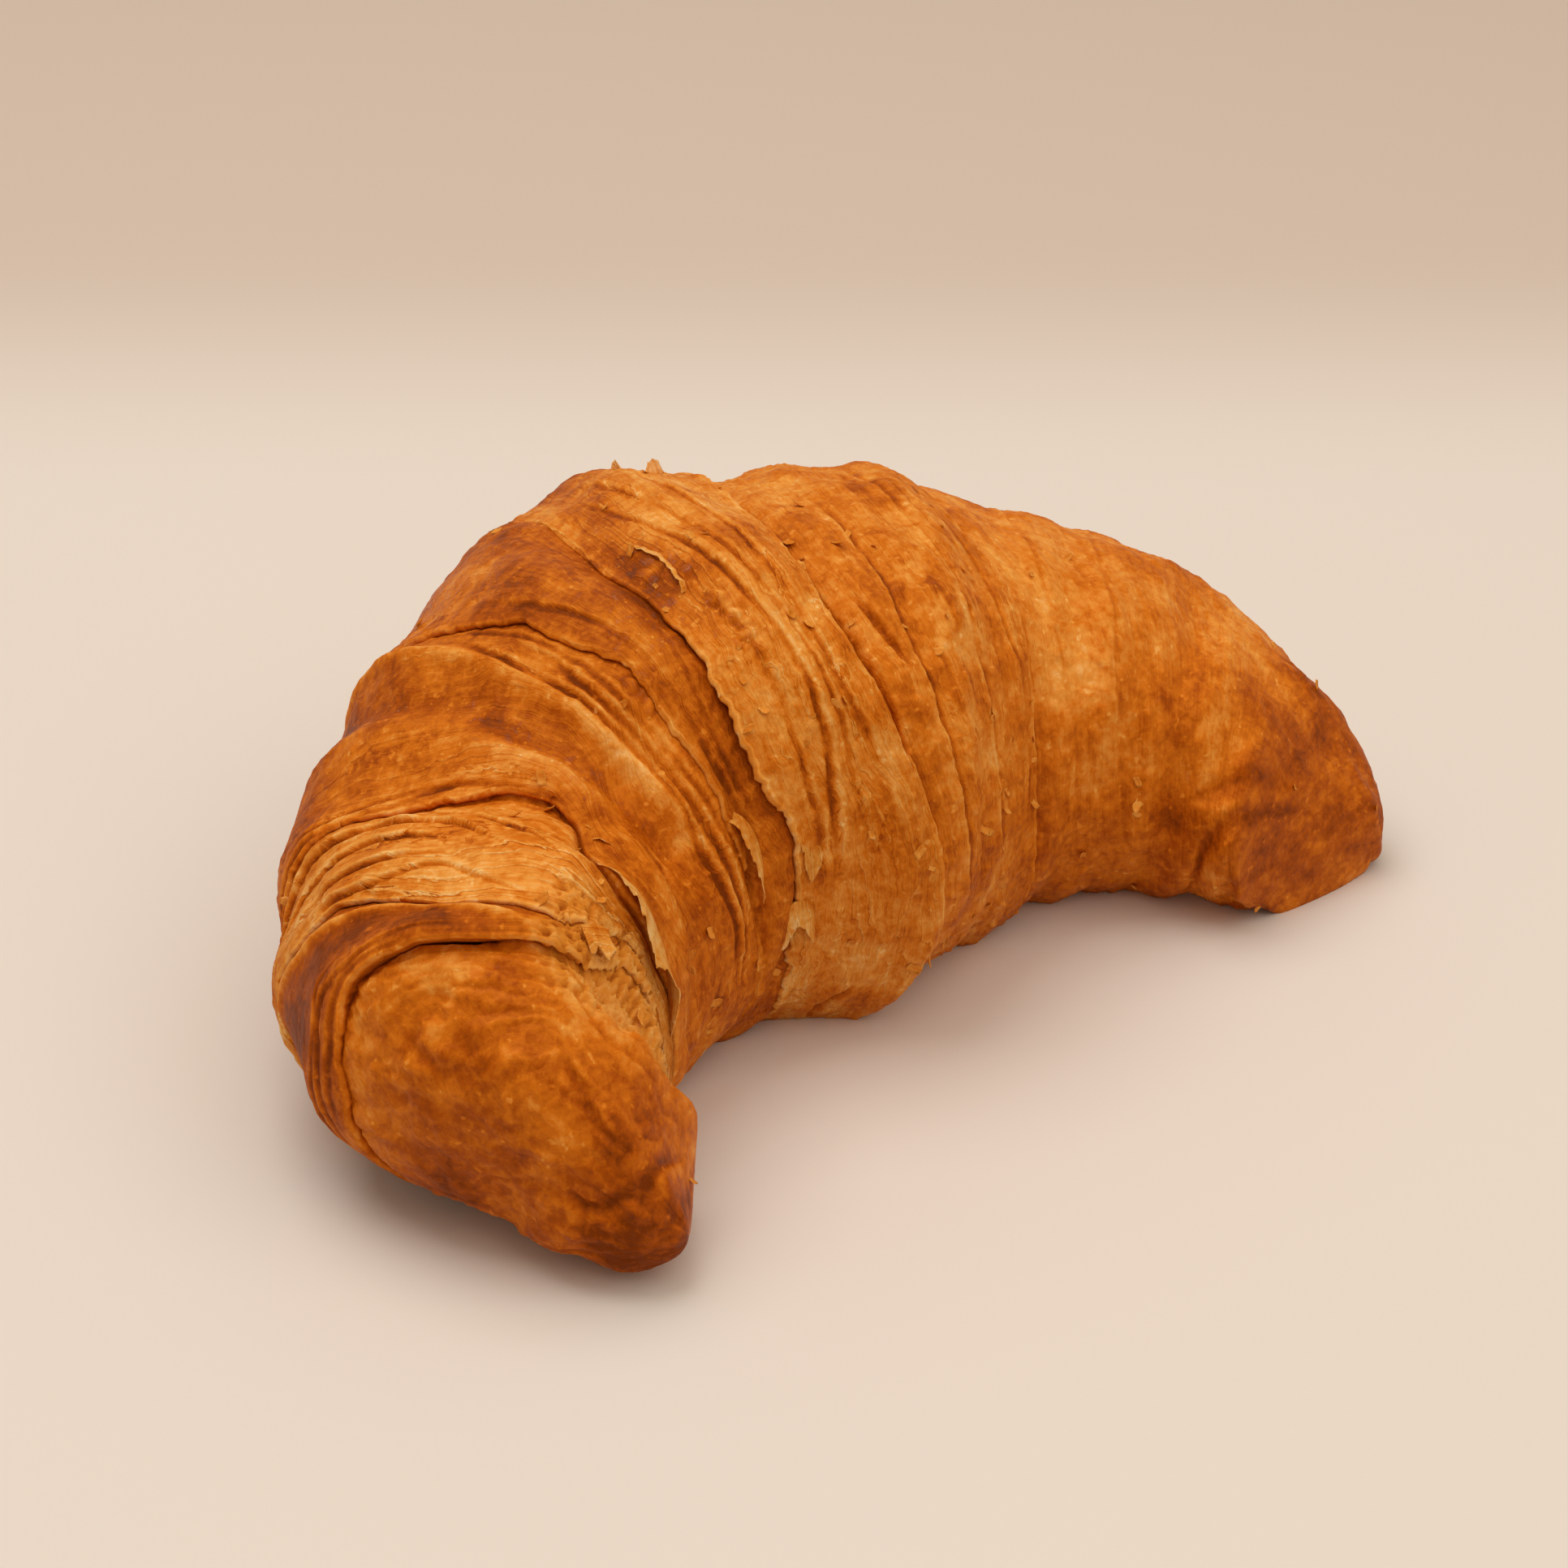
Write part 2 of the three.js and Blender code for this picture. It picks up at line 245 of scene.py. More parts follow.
# Leaves: thin dough layers that end on a line of (angle, mm) points. Before its line each has its height
# and the run over which it goes back into the wrap, both in mm, and the horn that it faces: 1 is the left
# and -1 the right.
LEAVES = (
    (0.26, 1.0, 1, ((-50, -57.4), (-25, -57.3), (0, -56.7), (20, -55.7), (35, -56.6), (55, -58.5),
                    (66, -60.4), (76, -62.0))),
    (0.22, 0.8, 1, ((-20, -58.2), (10, -57.3), (28, -56.7), (49, -58.7), (65, -61.0))),
    (0.18, 0.7, 1, ((-50, -56.4), (-10, -56.2), (10, -55.9), (24, -54.9), (40, -55.6))),
    (0.55, 3.0, 1, ((24, -49.6), (36, -48.4), (53, -49.9), (69, -50.9), (79, -55.0), (88, -59.0),
                    (96, -61.8))),
    (0.45, 2.0, 1, ((14, -47.5), (30, -46.6), (46, -46.9), (61, -48.2), (72, -50.0), (84, -55.4))),
    (0.75, 3.5, 1, ((0, -44.0), (19, -43.0), (41, -42.2), (59, -42.6), (71, -43.8), (77, -45.0),
                    (82, -47.7), (86, -51.8), (92, -57.0))),
    (0.40, 2.0, 1, ((8, -46.2), (30, -44.6), (52, -44.4), (66, -45.6), (76, -48.0), (84, -53.0))),
    (0.35, 2.2, 1, ((60, -40.6), (76, -42.0), (88, -46.5), (98, -53.5), (108, -58.0))),
    (0.30, 0.8, 1, ((0, -41.6), (31, -40.6), (57, -39.4), (78, -37.4), (92, -38.2), (106, -45.0))),
    (0.25, 0.7, 1, ((20, -40.3), (48, -38.9), (74, -37.6), (90, -36.8))),
    (0.45, 1.3, 1, ((56, -24.0), (78, -27.2), (91, -28.8), (107, -30.6), (130, -32.5), (150, -33.6),
                    (200, -32.0))),
    (0.45, 1.4, 1, ((70, -24.6), (82, -25.8), (93, -27.9), (109, -29.7), (122, -31.0), (140, -31.8),
                    (200, -30.5))),
    (0.25, 1.0, 1, ((50, -23.2), (76, -24.2), (92, -26.4), (110, -28.8), (130, -30.2), (160, -30.6))),
    (0.25, 2.0, 1, ((60, -20.6), (85, -21.8), (100, -23.2), (120, -25.8), (140, -27.4), (175, -25.6))),
    (0.20, 1.8, 1, ((88, -18.8), (105, -20.4), (120, -23.4), (145, -25.8), (165, -24.4))),
    (0.25, 2.6, 1, ((95, -12.6), (115, -14.2), (130, -16.2), (150, -18.2), (175, -17.6), (190, -16))),
    (0.40, 2.6, 1, ((60, -4.5), (90, -8.0), (115, -11.4), (136, -13.3), (158, -15.0), (172, -16.0),
                    (185, -14))),
    (0.20, 1.6, 1, ((50, -1.0), (80, -3.6), (110, -8.0), (140, -10.6), (165, -11.8), (180, -10))),
    (0.20, 2.0, 1, ((60, 2.0), (90, -1.6), (110, -5.0), (140, -7.8), (170, -8.0), (180, -5))),
    (0.25, 3.0, -1, ((80, 14.0), (110, 10.0), (135, 6.5), (160, 6.0), (200, 9.0))),
    (0.20, 3.0, -1, ((60, 24.0), (90, 21.5), (120, 21.0), (150, 19.0), (200, 20.0))),
    (0.16, 2.2, -1, ((60, 28.5), (90, 26.5), (120, 28.0), (150, 28.0), (190, 27.5))),
    (0.10, 3.5, -1, ((40, 43.0), (80, 40.0), (110, 39.0), (150, 38.5), (200, 40.0))),
    (0.10, 3.5, -1, ((40, 52.0), (80, 49.5), (110, 48.5), (150, 47.0), (200, 48.5))),
)
LEAF_STRAY = (0.35, 0.08)  # mm that a leaf's edge strays from its line, in long and in short waves
LEAF_STEP = (-0.14, 0.10)  # mm across the edge over which it stands up
LEAF_RIM = 0.40  # mm of dry pale rim behind the edge
LEAF_GAP = (0.36, 0.34)  # mm out from the edge to the shadow gap, and how wide the gap is
BOLD_LEAF = 0.4  # mm from which a leaf's gap and rim show in full

# Ridges and hollows that follow a line, with how they change the browning, in places with painted shade,
# and the gloss
FOLLOWERS = [
    {"height": -0.5, "width": 4.6, "bake_and_shade": 0.30, "glaze": 0.2, "fade": 84,
     "points": ((-60, -53.6), (0, -52.8), (30, -53.2), (50, -55.0), (62, -57.6), (72, -60.0))},
    {"height": 0.6, "width": 0.8, "bake_and_shade": -0.36, "glaze": -0.6, "fade": 98,
     "points": ((-60, -48.0), (0, -48.6), (20, -50.2), (37, -51.3), (56, -53.8), (68, -57.8), (84, -62.2))},
    # The shoulder band is darker partly from the browning of its glazed sheet and partly from painted shade
    # in its hollow.
    {"height": -1.1, "width": 2.1, "bake_and_shade": 0.15, "glaze": 0.5, "fade": 155,
     "points": tuple(zip(EDGE_ANGLES[:11], EDGES["shoulder band"][:11]))},
    {"height": 1.0, "width": 1.0, "bake_and_shade": -0.16, "glaze": -0.6, "fade": 150,
     "points": tuple(zip(EDGE_ANGLES[:11], EDGES["shoulder ridge"][:11]))},
    {"height": 0.0, "width": 4.5, "bake_and_shade": -0.06, "glaze": 0.3, "fade": 132,
     "points": ((0, -13.0), (50, -16.0), (85, -20.5), (112, -24.0))},
    {"height": -0.8, "width": 3.0, "bake_and_shade": 0.10, "glaze": 0.0, "fade": 200,
     "points": tuple(zip(EDGE_ANGLES[:11], EDGES["right collar"][:11]))},
    {"height": 0.5, "width": 1.4, "bake_and_shade": -0.24, "glaze": 0.5, "fade": 118, "start": 66,
     "points": ((60, -33.4), (78, -34.6), (87, -35.4), (102, -37.6), (116, -39.0))},
    # Painted shade along the valley between the crest and the crown's raised part.
    {"height": -1.0, "width": 3.6, "bake_and_shade": 0.20, "glaze": 0.4, "fade": 122, "start": 60,
     "points": ((0, -1.5), (49, -5.1), (66, -9.2), (84, -13.4), (101, -18.0))},
    {"height": 0.0, "width": 3.6, "bake_and_shade": 0.24, "glaze": 0.2, "fade": 108, "start": 15,
     "points": ((15, 1.5), (40, 0.0), (57, -2.5), (76, -7.5), (87, -11.0), (100, -16.0))},
]

# Knobs and dents of the horns, at (mm along the spine, angle)
BUMPS = [
    {"place": (-77.6, 152), "height": 2.2, "radius": 3.0},
    {"place": (-74.0, 134), "height": -0.8, "radius": 2.2},
    {"place": (-75.0, 48), "height": -1.5, "radius": 3.2},
    {"place": (-74.6, 15), "height": -0.8, "radius": 2.2},
    {"place": (-78.0, 24), "height": 1.0, "radius": 1.3},
    {"place": (-80.2, 90), "height": 0.7, "radius": 2.4},
    {"place": (-67.0, 60), "height": 1.3, "radius": 7.0},
    {"place": (-64.5, 30), "height": 0.7, "radius": 4.5},
    {"place": (-69.0, 46), "height": 0.6, "radius": 1.8},
    {"place": (-65.5, 40), "height": -0.6, "radius": 1.6},
    {"place": (-71.0, 88), "height": -0.7, "radius": 2.5},
    {"place": (-66.5, 118), "height": -0.9, "radius": 3.5},
    {"place": (-54.0, 200), "height": 2.0, "radius": 4.0},
    {"place": (78.0, 168), "height": 1.0, "radius": 5.0},
    {"place": (85.0, 241), "height": 4.0, "radius": 5.0},
    {"place": (73.5, 214), "height": -1.3, "radius": 4.0},
    {"place": (74.0, 120), "height": 0.8, "radius": 6.0},
    {"place": (70.0, 146), "height": -0.9, "radius": 3.5},
    {"place": (17.0, 130), "height": 0.9, "radius": 6.0},
]

# Creases and cracks, as runs of (mm along the spine, angle)
CREASES = [
    {"depth": 0.6, "width": 0.5,
     "run": ((-73.1, 26), (-73.0, 12), (-74.0, 5), (-75.2, 8), (-76.4, 24), (-77.4, 36))},
    {"depth": 1.0, "width": 0.5, "run": ((-79.3, 129), (-78.6, 91), (-78.2, 62), (-77.8, 45))},
    {"depth": 0.9, "width": 0.6, "run": ((-79.4, 176), (-81.0, 126), (-80.4, 40), (-79.8, 22))},
    {"depth": 0.6, "width": 0.8, "run": ((-63.0, 52), (-62.2, 38), (-62.4, 27), (-65.0, 26), (-67.3, 35))},
    {"depth": 0.7, "width": 0.9, "run": ((-69.7, 71), (-72.2, 66), (-74.2, 57), (-75.7, 64))},
    {"depth": 0.7, "width": 0.7, "run": ((-66.0, 92), (-69.0, 96), (-72.0, 104), (-74.5, 116))},
    {"depth": 1.2, "width": 1.4,
     "run": ((62.5, 216), (64.6, 188), (68.7, 174), (73.8, 157), (78.6, 142), (83.5, 122))},
    {"depth": 0.5, "width": 1.0, "run": ((69.1, 202), (76.0, 188), (80.9, 176), (85.0, 158))},
    {"depth": 0.8, "width": 1.4, "run": ((62.0, 172), (67.4, 159), (74.5, 139), (80.5, 123))},
    {"depth": 1.9, "width": 0.8, "run": ((0.6, 110), (-0.8, 120), (-2.2, 132), (-2.9, 146), (-3.2, 160))},
    {"depth": 0.9, "width": 0.6, "run": ((3.0, 118), (3.4, 128), (3.8, 138))},
    {"depth": 1.4, "width": 0.8, "run": ((-41.0, 127), (-41.3, 134), (-41.9, 145))},
    {"depth": 1.0, "width": 0.7, "run": ((-27.8, 160), (-28.2, 172), (-27.6, 190))},
    {"depth": 1.2, "width": 0.7, "run": ((-10.0, 212), (-11.0, 222), (-10.0, 232))},
]

# Slow waves of the whole body, the same as the solid's: height in mm, radians of the wave for each mm
# along it, waves round it, and radians at its start
LUMPS = ((0.5, 0.19, 2, 0.4), (0.35, 0.41, 5, 2.1), (0.25, 0.73, 3, 4.0))

# Small round bubbles under the glaze, at (mm along the spine, angle)
BUBBLES = (
    (-13.1, 90),
    (-10.8, 92),
    (-12.2, 97),
    (-13.3, 107),
    (-14.2, 113),
    (-15.0, 119),
    (-26.6, 104),
    (-27.4, 111),
)
BUBBLE = {"height": 0.45, "radius": 0.75, "moat": 0.25, "moat_radius": 1.1, "shine_radius": 1.3}  # in mm
MARGIN = 6  # mm beyond a wrap within which a leaf or a crease still counts for it

# Where the crust is torn open beside the left horn: mm along the spine, angle and reach in mm
CRUMB_PATCH = (
    (-64.5, 94, 2.8),
    (-64.5, 102, 3.6),
    (-64.5, 118, 4.2),
    (-65.0, 138, 4.6),
    (-66.5, 158, 5.0),
    (-60.5, 104, 2.6),
)


def span_fade(angle, first, last):
    """1 between two angles, fading out over the last stretch at each."""
    run = min(22.0, (last - first) / 3)
    return smoothstep(first, first + run, angle) * (1 - smoothstep(last - run, last, angle))


def skin_distance(mm, angle, place, radius):
    """Mm on the skin between points and a place, for a body of this radius."""
    return np.hypot(mm - place[0], np.radians(angle - place[1]) * radius)


def crease_depth(mm, angle, radius, crease):
    """Depth of a crease: how near a point lies to its run."""
    nearest = np.full(mm.shape, 1e9)
    along = np.zeros(mm.shape)
    run = crease["run"]
    for number, ((mm_a, angle_a), (mm_b, angle_b)) in enumerate(zip(run, run[1:])):
        ax, ay = mm - mm_a, np.radians(angle - angle_a) * radius
        bx, by = mm_b - mm_a, np.radians(angle_b - angle_a) * radius
        share = np.clip((ax * bx + ay * by) / (bx * bx + by * by), 0, 1)
        off = np.hypot(ax - share * bx, ay - share * by)
        along = np.where(off < nearest, (number + share) / (len(run) - 1), along)
        nearest = np.minimum(nearest, off)
    taper = np.sqrt(np.sin(np.pi * np.clip(along, 0.02, 0.98)))
    return crease["depth"] * taper * np.exp(-((nearest / crease["width"] / taper) ** 2))


def near_grid(values, reach):
    """Mean over the mesh's neighbours, this many lines each way."""
    padded = np.concatenate([values[:1]] * reach + [values] + [values[-1:]] * reach)
    along = sum(padded[i : i + len(values)] for i in range(2 * reach + 1)) / (2 * reach + 1)
    return sum(np.roll(along, i, 1) for i in range(-reach, reach + 1)) / (2 * reach + 1)


def strata(across, arc, spacing, seed):
    """Height, rims and gaps of torn layers, each a sharp step up that runs down to the next one."""
    bend = 0.8 * noise(across / (4 * spacing), arc / 30, 0 * arc, seed)
    bend = bend + 0.25 * noise(across / 4, arc / 7, 0 * arc, seed + 1)
    place = across / spacing + bend + 0.07 * noise(across / 2, arc / 1.3, 0 * arc, seed + 2)
    layer = np.floor(place)
    down = place - layer
    strength = smoothstep(-0.35, 0.45, noise(layer * 5.7, arc / 22, 0 * arc, seed + 3))
    layers = strength * (1 - down) * smoothstep(0, 0.10, down)
    rims = strength * np.exp(-down / 0.14)
    gaps = strength * np.exp(-(1 - down) / 0.12)
    return layers, rims, gaps


def leaf_relief(mm, angle, stretch, wobble, fine_wobble, lumps):
    """Push in mm, painted shadow in the gaps with paler rims, and gloss of the leaves that end near these
    points.
    """
    push, bake_and_shade, glaze = 0 * mm, 0 * mm, 0 * mm
    for height, run, side, points in LEAVES:
        places = [place for _, place in points]
        if min(places) > mm.max() + MARGIN or max(places) < mm.min() - MARGIN:
            continue
        off = side * (mm - line_through(points)(angle)) * stretch
        off = off + LEAF_STRAY[0] * wobble + LEAF_STRAY[1] * fine_wobble
        fade = span_fade(angle, points[0][0], points[-1][0])
        fade = fade * (0.5 + 0.5 * smoothstep(-0.5, 0.2, lumps + wobble))
        rise = smoothstep(*LEAF_STEP, off)
        top = rise * np.exp(-np.maximum(off, 0) / run)
        rim = rise * np.exp(-np.maximum(off, 0) / LEAF_RIM)
        gap = np.exp(-(((off + LEAF_GAP[0]) / LEAF_GAP[1]) ** 2))
        bold = min(1, height / BOLD_LEAF)
        push = push + fade * (height * top - (0.18 * bold + 0.4 * height) * gap)
        # Painted shadow in the gap under each leaf's edge, and a paler rim on the edge.
        bake_and_shade = bake_and_shade + fade * bold * (0.34 * gap - 0.30 * rim)
        glaze = glaze - 0.3 * fade * rim
    return push, bake_and_shade, glaze


def follower_relief(mm, angle, stretch, wobble):
    """Push in mm, browning with some painted shade, and gloss of the ridges and hollows that follow a line.
    """
    push, bake_and_shade, glaze = 0 * mm, 0 * mm, 0 * mm
    for follower in FOLLOWERS:
        off = (mm - line_through(follower["points"])(angle)) * stretch + 0.25 * wobble
        span = span_fade(angle, follower.get("start", -95), follower["fade"])
        near = np.exp(-((off / follower["width"]) ** 2)) * span
        push = push + follower["height"] * near
        bake_and_shade = bake_and_shade + follower["bake_and_shade"] * near
        glaze = glaze + follower["glaze"] * near
    return push, bake_and_shade, glaze


def mark_relief(mm, angle, radius, fine_wobble):
    """Push in mm, painted shade in the creases, and gloss of the knobs, dents, creases and bubbles near
    these points.
    """
    push, bake_and_shade, glaze = 0 * mm, 0 * mm, 0 * mm
    for bump in BUMPS:
        off = skin_distance(mm, angle, bump["place"], radius)
        push = push + bump["height"] * np.exp(-((off / bump["radius"]) ** 2))
    for crease in CREASES:
        if mm.min() - MARGIN < crease["run"][0][0] < mm.max() + MARGIN:
            depth = crease_depth(mm, angle, radius, crease)
            push = push - depth
            # Painted shade in the crease, deeper where it is deeper.
            bake_and_shade = bake_and_shade + 0.10 * depth
    for place in BUBBLES:
        off = skin_distance(mm, angle, place, radius) + 0.25 * fine_wobble
        push = push + BUBBLE["height"] * np.exp(-((off / BUBBLE["radius"]) ** 2))
        push = push - BUBBLE["moat"] * np.exp(-(((off - BUBBLE["moat_radius"]) / 0.3) ** 2))
        glaze = glaze + 0.7 * np.exp(-((off / BUBBLE["shine_radius"]) ** 2))
    return push, bake_and_shade, glaze


def torn_open(mm, angle, radius, wobble):
    """How far the crust is torn open to the crumb, 0 to 1."""
    crumb = 0 * mm
    for place_mm, place_angle, reach in CRUMB_PATCH:
        off = skin_distance(mm, angle, (place_mm, place_angle), radius) + 1.0 * wobble
        crumb = np.maximum(crumb, 1 - smoothstep(reach - 1.2, reach + 1.2, off))
    return crumb


def relief(mm, angle, share, piece):
    """Push of the skin in mm over the plain section, with the browning and painted shade, gloss, crumb and
    streaks there.
    """
    angle = turned(angle)
    left_step, right_step = step_at[piece["left"]](angle), step_at[piece["right"]](angle)
    eased = share * share * (3 - 2 * share)
    width = edge_at[piece["right"]](angle) - edge_at[piece["left"]](angle) if piece["crowned"] else 18
    crown = np.minimum(1.0, 0.055 * width) * 4 * share * (1 - share)
    height = crown + left_step / 2 * (1 - eased) - right_step / 2 * eased
    for size, along, around, phase in LUMPS:
        height = height + size * np.sin(along * mm + around * np.radians(angle) + phase)
    arc = arc_at(mm, angle)
    stretch = stretch_at(mm, angle)
    t = share_of_arm(mm)
    radius = (outer_at(t) + inner_at(t) + height_at(t)) / 4
    x, y, z = np.moveaxis(skin(mm, angle, 0 * mm), -1, 0)
    across = share * piece["across"]

    wobble = layered(x / 9, y / 9, z / 9, 1, 3)
    fine_wobble = layered(x / 2.0, y / 2.0, z / 2.0, 5, 2)
    lumps = layered(x / 15, y / 15, z / 15, 9, 2)
    height = height + 0.5 * lumps + piece["uneven"] * wobble
    bake_and_shade = piece["bake_and_shade"] + 0 * mm
    glaze = piece["glaze"] + 0 * mm
    for push, darker, glossier in (
        leaf_relief(mm, angle, stretch, wobble, fine_wobble, lumps),
        follower_relief(mm, angle, stretch, wobble),
        mark_relief(mm, angle, radius, fine_wobble),
    ):
        height = height + push
        bake_and_shade = bake_and_shade + darker
        glaze = glaze + glossier
    crumb = torn_open(mm, angle, radius, wobble)
    glaze = np.clip(glaze, 0, 1)
    rough = 1 - 0.9 * np.clip(glaze - 0.35, 0, 0.65) / 0.65
    layers, rims, gaps = strata(across, arc, piece["spacing"], 60)
    fine_layers, fine_rims, fine_gaps = strata(across, arc, piece["spacing"] * 0.45, 70)
    torn = rough * piece["strata"] * (1 - crumb)
    if "strata_from" in piece:
        past = (mm - edge_at[piece["strata_from"]](angle)) * stretch
        torn = torn * (0.15 + 0.85 * smoothstep(0.5, 2.0, past))
    height = height + torn * (0.50 * layers - 0.25 * gaps + 0.20 * fine_layers - 0.10 * fine_gaps)
    # Painted shadow in the gaps at the foot of each layer, and paler rims on top.
    bake_and_shade = bake_and_shade + torn * (0.18 * gaps - 0.14 * rims + 0.10 * fine_gaps - 0.08 * fine_rims)
    streaks = layered(across / 1.1 + 0.5 * wobble, arc / 14, mm * 0, 20, 3)
    mottle = layered(x / 2.6, y / 2.6, z / 2.6, 31, 3)
    blister = smoothstep(0.30, 0.70, noise(x / 1.7, y / 1.7, z / 1.7, 41))
    height = height + rough * piece["streak"] * 0.11 * streaks
    height = height + (0.15 + 0.85 * rough) * piece["mottle"] * (0.26 * mottle + 0.22 * blister)
    wrinkle = 0.5 - np.abs(layered(mm / 6.5 + 0.4 * wobble, arc / 3.0 + 0.9 * wobble, 0 * mm, 81, 3))
    height = height + piece["wrinkle"] * (0.15 + 0.85 * rough) * 0.7 * wrinkle
    glaze = np.clip(glaze + 0.35 * blister * piece["mottle"], 0, 1)
    fibres = layered(x / 0.7 + 0.8 * wobble, y / 2.6 + wobble, z / 0.7, 45, 3)
    holes = smoothstep(0.15, 0.6, layered(x / 1.2, y / 1.9, z / 1.2, 48, 2))
    height = height + crumb * (0.30 * fibres - 0.7 * holes)

    # Painted shade in the hollows and painted light on the ridges, the wrinkles' valleys and ridges too.
    hollow = (height - near_grid(height, CAVITY_REACH)) / 0.28
    bake_and_shade = bake_and_shade - 0.09 * np.clip(hollow, -1.8, 1.1) - 0.04 * piece["wrinkle"] * (wrinkle - 0.2)
    bake_and_shade = bake_and_shade + 0.13 * lumps + 0.13 * wobble
    bake_and_shade = bake_and_shade + 0.14 * mottle * piece["mottle"] - 0.07 * streaks * piece["streak"]
    patch = np.exp(-((skin_distance(mm, angle, (17, 128), radius) / 6.0) ** 2))
    bake_and_shade = bake_and_shade + 0.22 * patch * smoothstep(-0.2, 0.5, mottle)
    horn_tip = 1.4 * smoothstep(-72, -78, mm) + 2.0 * smoothstep(64, 82, mm)
    horn_side = smoothstep(-57, -63, mm) * smoothstep(40, -20, angle)
    # Painted shade on the low part of the right arm's hollow side.
    shaded_low_side = smoothstep(135, 180, angle) * smoothstep(20, 32, mm) * smoothstep(74, 60, mm)
    bake_and_shade = bake_and_shade + 0.18 * horn_tip + 0.22 * horn_side + 0.16 * shaded_low_side
    bake_and_shade = bake_and_shade * (1 - crumb) + crumb * (0.46 - 0.14 * fibres + 0.30 * holes)
    look = (np.clip(bake_and_shade, 0, 1), glaze * (1 - crumb), crumb, piece["streak"] + 0 * mm)
    return height, np.stack(look, -1)


# The wraps, from the left horn to the right one. A lip lies over its neighbour, and a tuck runs under it.
WRAPS = [
    {"name": "left_horn", "left": "tip", "right": "collar", "ends": ("tip", "tuck"), "across": 20,
     "streak": 0.15, "mottle": 0.9, "uneven": 0.45, "wrinkle": 1.0, "strata": 0.10, "spacing": 2.2,
     "bake_and_shade": 0.54, "glaze": 0.5, "flaky": 0.15},
    {"name": "left_collar", "left": "collar", "right": "leaves", "ends": ("lip", "tuck"), "across": 10,
     "streak": 0.4, "mottle": 0.3, "uneven": 0.1, "wrinkle": 0.1, "strata": 0.12, "spacing": 1.4,
     "bake_and_shade": 0.66, "glaze": 0.2, "flaky": 0.0},
    {"name": "torn_leaves", "left": "leaves", "right": "sheet", "ends": ("lip", "tuck"), "across": 12,
     "streak": 0.85, "mottle": 0.3, "uneven": 0.25, "wrinkle": 0.2, "strata": 0.12, "spacing": 1.3,
     "bake_and_shade": 0.44, "glaze": 0.3, "flaky": 0.8},
    {"name": "left_shoulder", "left": "sheet", "right": "crest", "ends": ("lip", "tuck"), "across": 20,
     "streak": 0.65, "mottle": 0.5, "uneven": 0.2, "wrinkle": 0.1, "strata": 0.22, "spacing": 1.5,
     "bake_and_shade": 0.58, "glaze": 0.35, "strata_from": "shoulder ridge", "flaky": 0.3},
    {"name": "crest_wrap", "left": "crest", "right": "crown", "ends": ("lip", "tuck"), "across": 12,
     "streak": 0.6, "mottle": 0.7, "uneven": 0.25, "wrinkle": 0.2, "strata": 0.2, "spacing": 2.4,
     "bake_and_shade": 0.68, "glaze": 0.45, "flaky": 0.5},
    {"name": "crown_wrap", "left": "crown", "right": "saddle", "ends": ("lip", "lip"), "across": 20,
     "streak": 0.7, "mottle": 0.7, "uneven": 0.2, "wrinkle": 0.15, "strata": 0.12, "spacing": 1.7,
     "bake_and_shade": 0.43, "glaze": 0.4, "flaky": 0.7},
    {"name": "saddle_wrap", "left": "saddle", "right": "right wrap", "ends": ("tuck", "lip"), "across": 30,
     "streak": 0.6, "mottle": 0.9, "uneven": 0.3, "wrinkle": 0.2, "strata": 0.14, "spacing": 2.4,
     "bake_and_shade": 0.48, "glaze": 0.35, "flaky": 0.5},
    {"name": "right_horn", "left": "right wrap", "right": "tip", "ends": ("tuck", "tip"), "across": 55,
     "streak": 0.45, "mottle": 0.8, "uneven": 0.35, "wrinkle": 0.2, "strata": 0.10, "spacing": 2.6,
     "bake_and_shade": 0.45, "glaze": 0.4, "flaky": 0.2},
]
CELL = 0.27  # mm between the crust's mesh lines
COARSER = {"right_horn": 1.3}  # a long piece has its mesh lines farther apart by this factor
FINER = {"left_collar": 0.6, "torn_leaves": 0.6, "crown_wrap": 0.8}  # a torn one has them closer across
CAVITY_REACH = round(1.3 / CELL)  # mesh lines over which a hollow is told from a ridge

# The sections of a wrap's ends, as mm in from its edge, or out from it for a tuck, and mm down
UNDER_LIP = ((6.0, -6.0), (3.0, -4.2), (1.2, -2.4), (0.45, -1.1))
LIP = ((0.0, -0.42), (0.02, -0.20), (0.08, -0.05), (0.22, 0.0))
TUCK = ((0.8, -0.4), (2.0, -1.6), (4.5, -5.0))
LIP_RUN = LIP[-1][0]
TIP_RUN = 11.0  # mm of the horn that is meshed more and more finely to its end


def torn_share(edge, angle):
    """0 where an edge is a soft fold, and 1 where it is torn."""
    start = TORN_FROM.get(edge, -200)
    return smoothstep(start - 8, start + 8, turned(angle))


def ragged(edge, angle, mm, seed):
    """How far a torn edge strays from its line, in mm."""
    arc = arc_at(mm, angle)
    stray = layered(arc / 6, mm * 0, mm * 0, seed, 3) + 0.4 * noise(arc / 0.9, mm * 0, mm * 0, seed + 7)
    return RAGGED.get(edge, 0.35) * stray * torn_share(edge, angle)


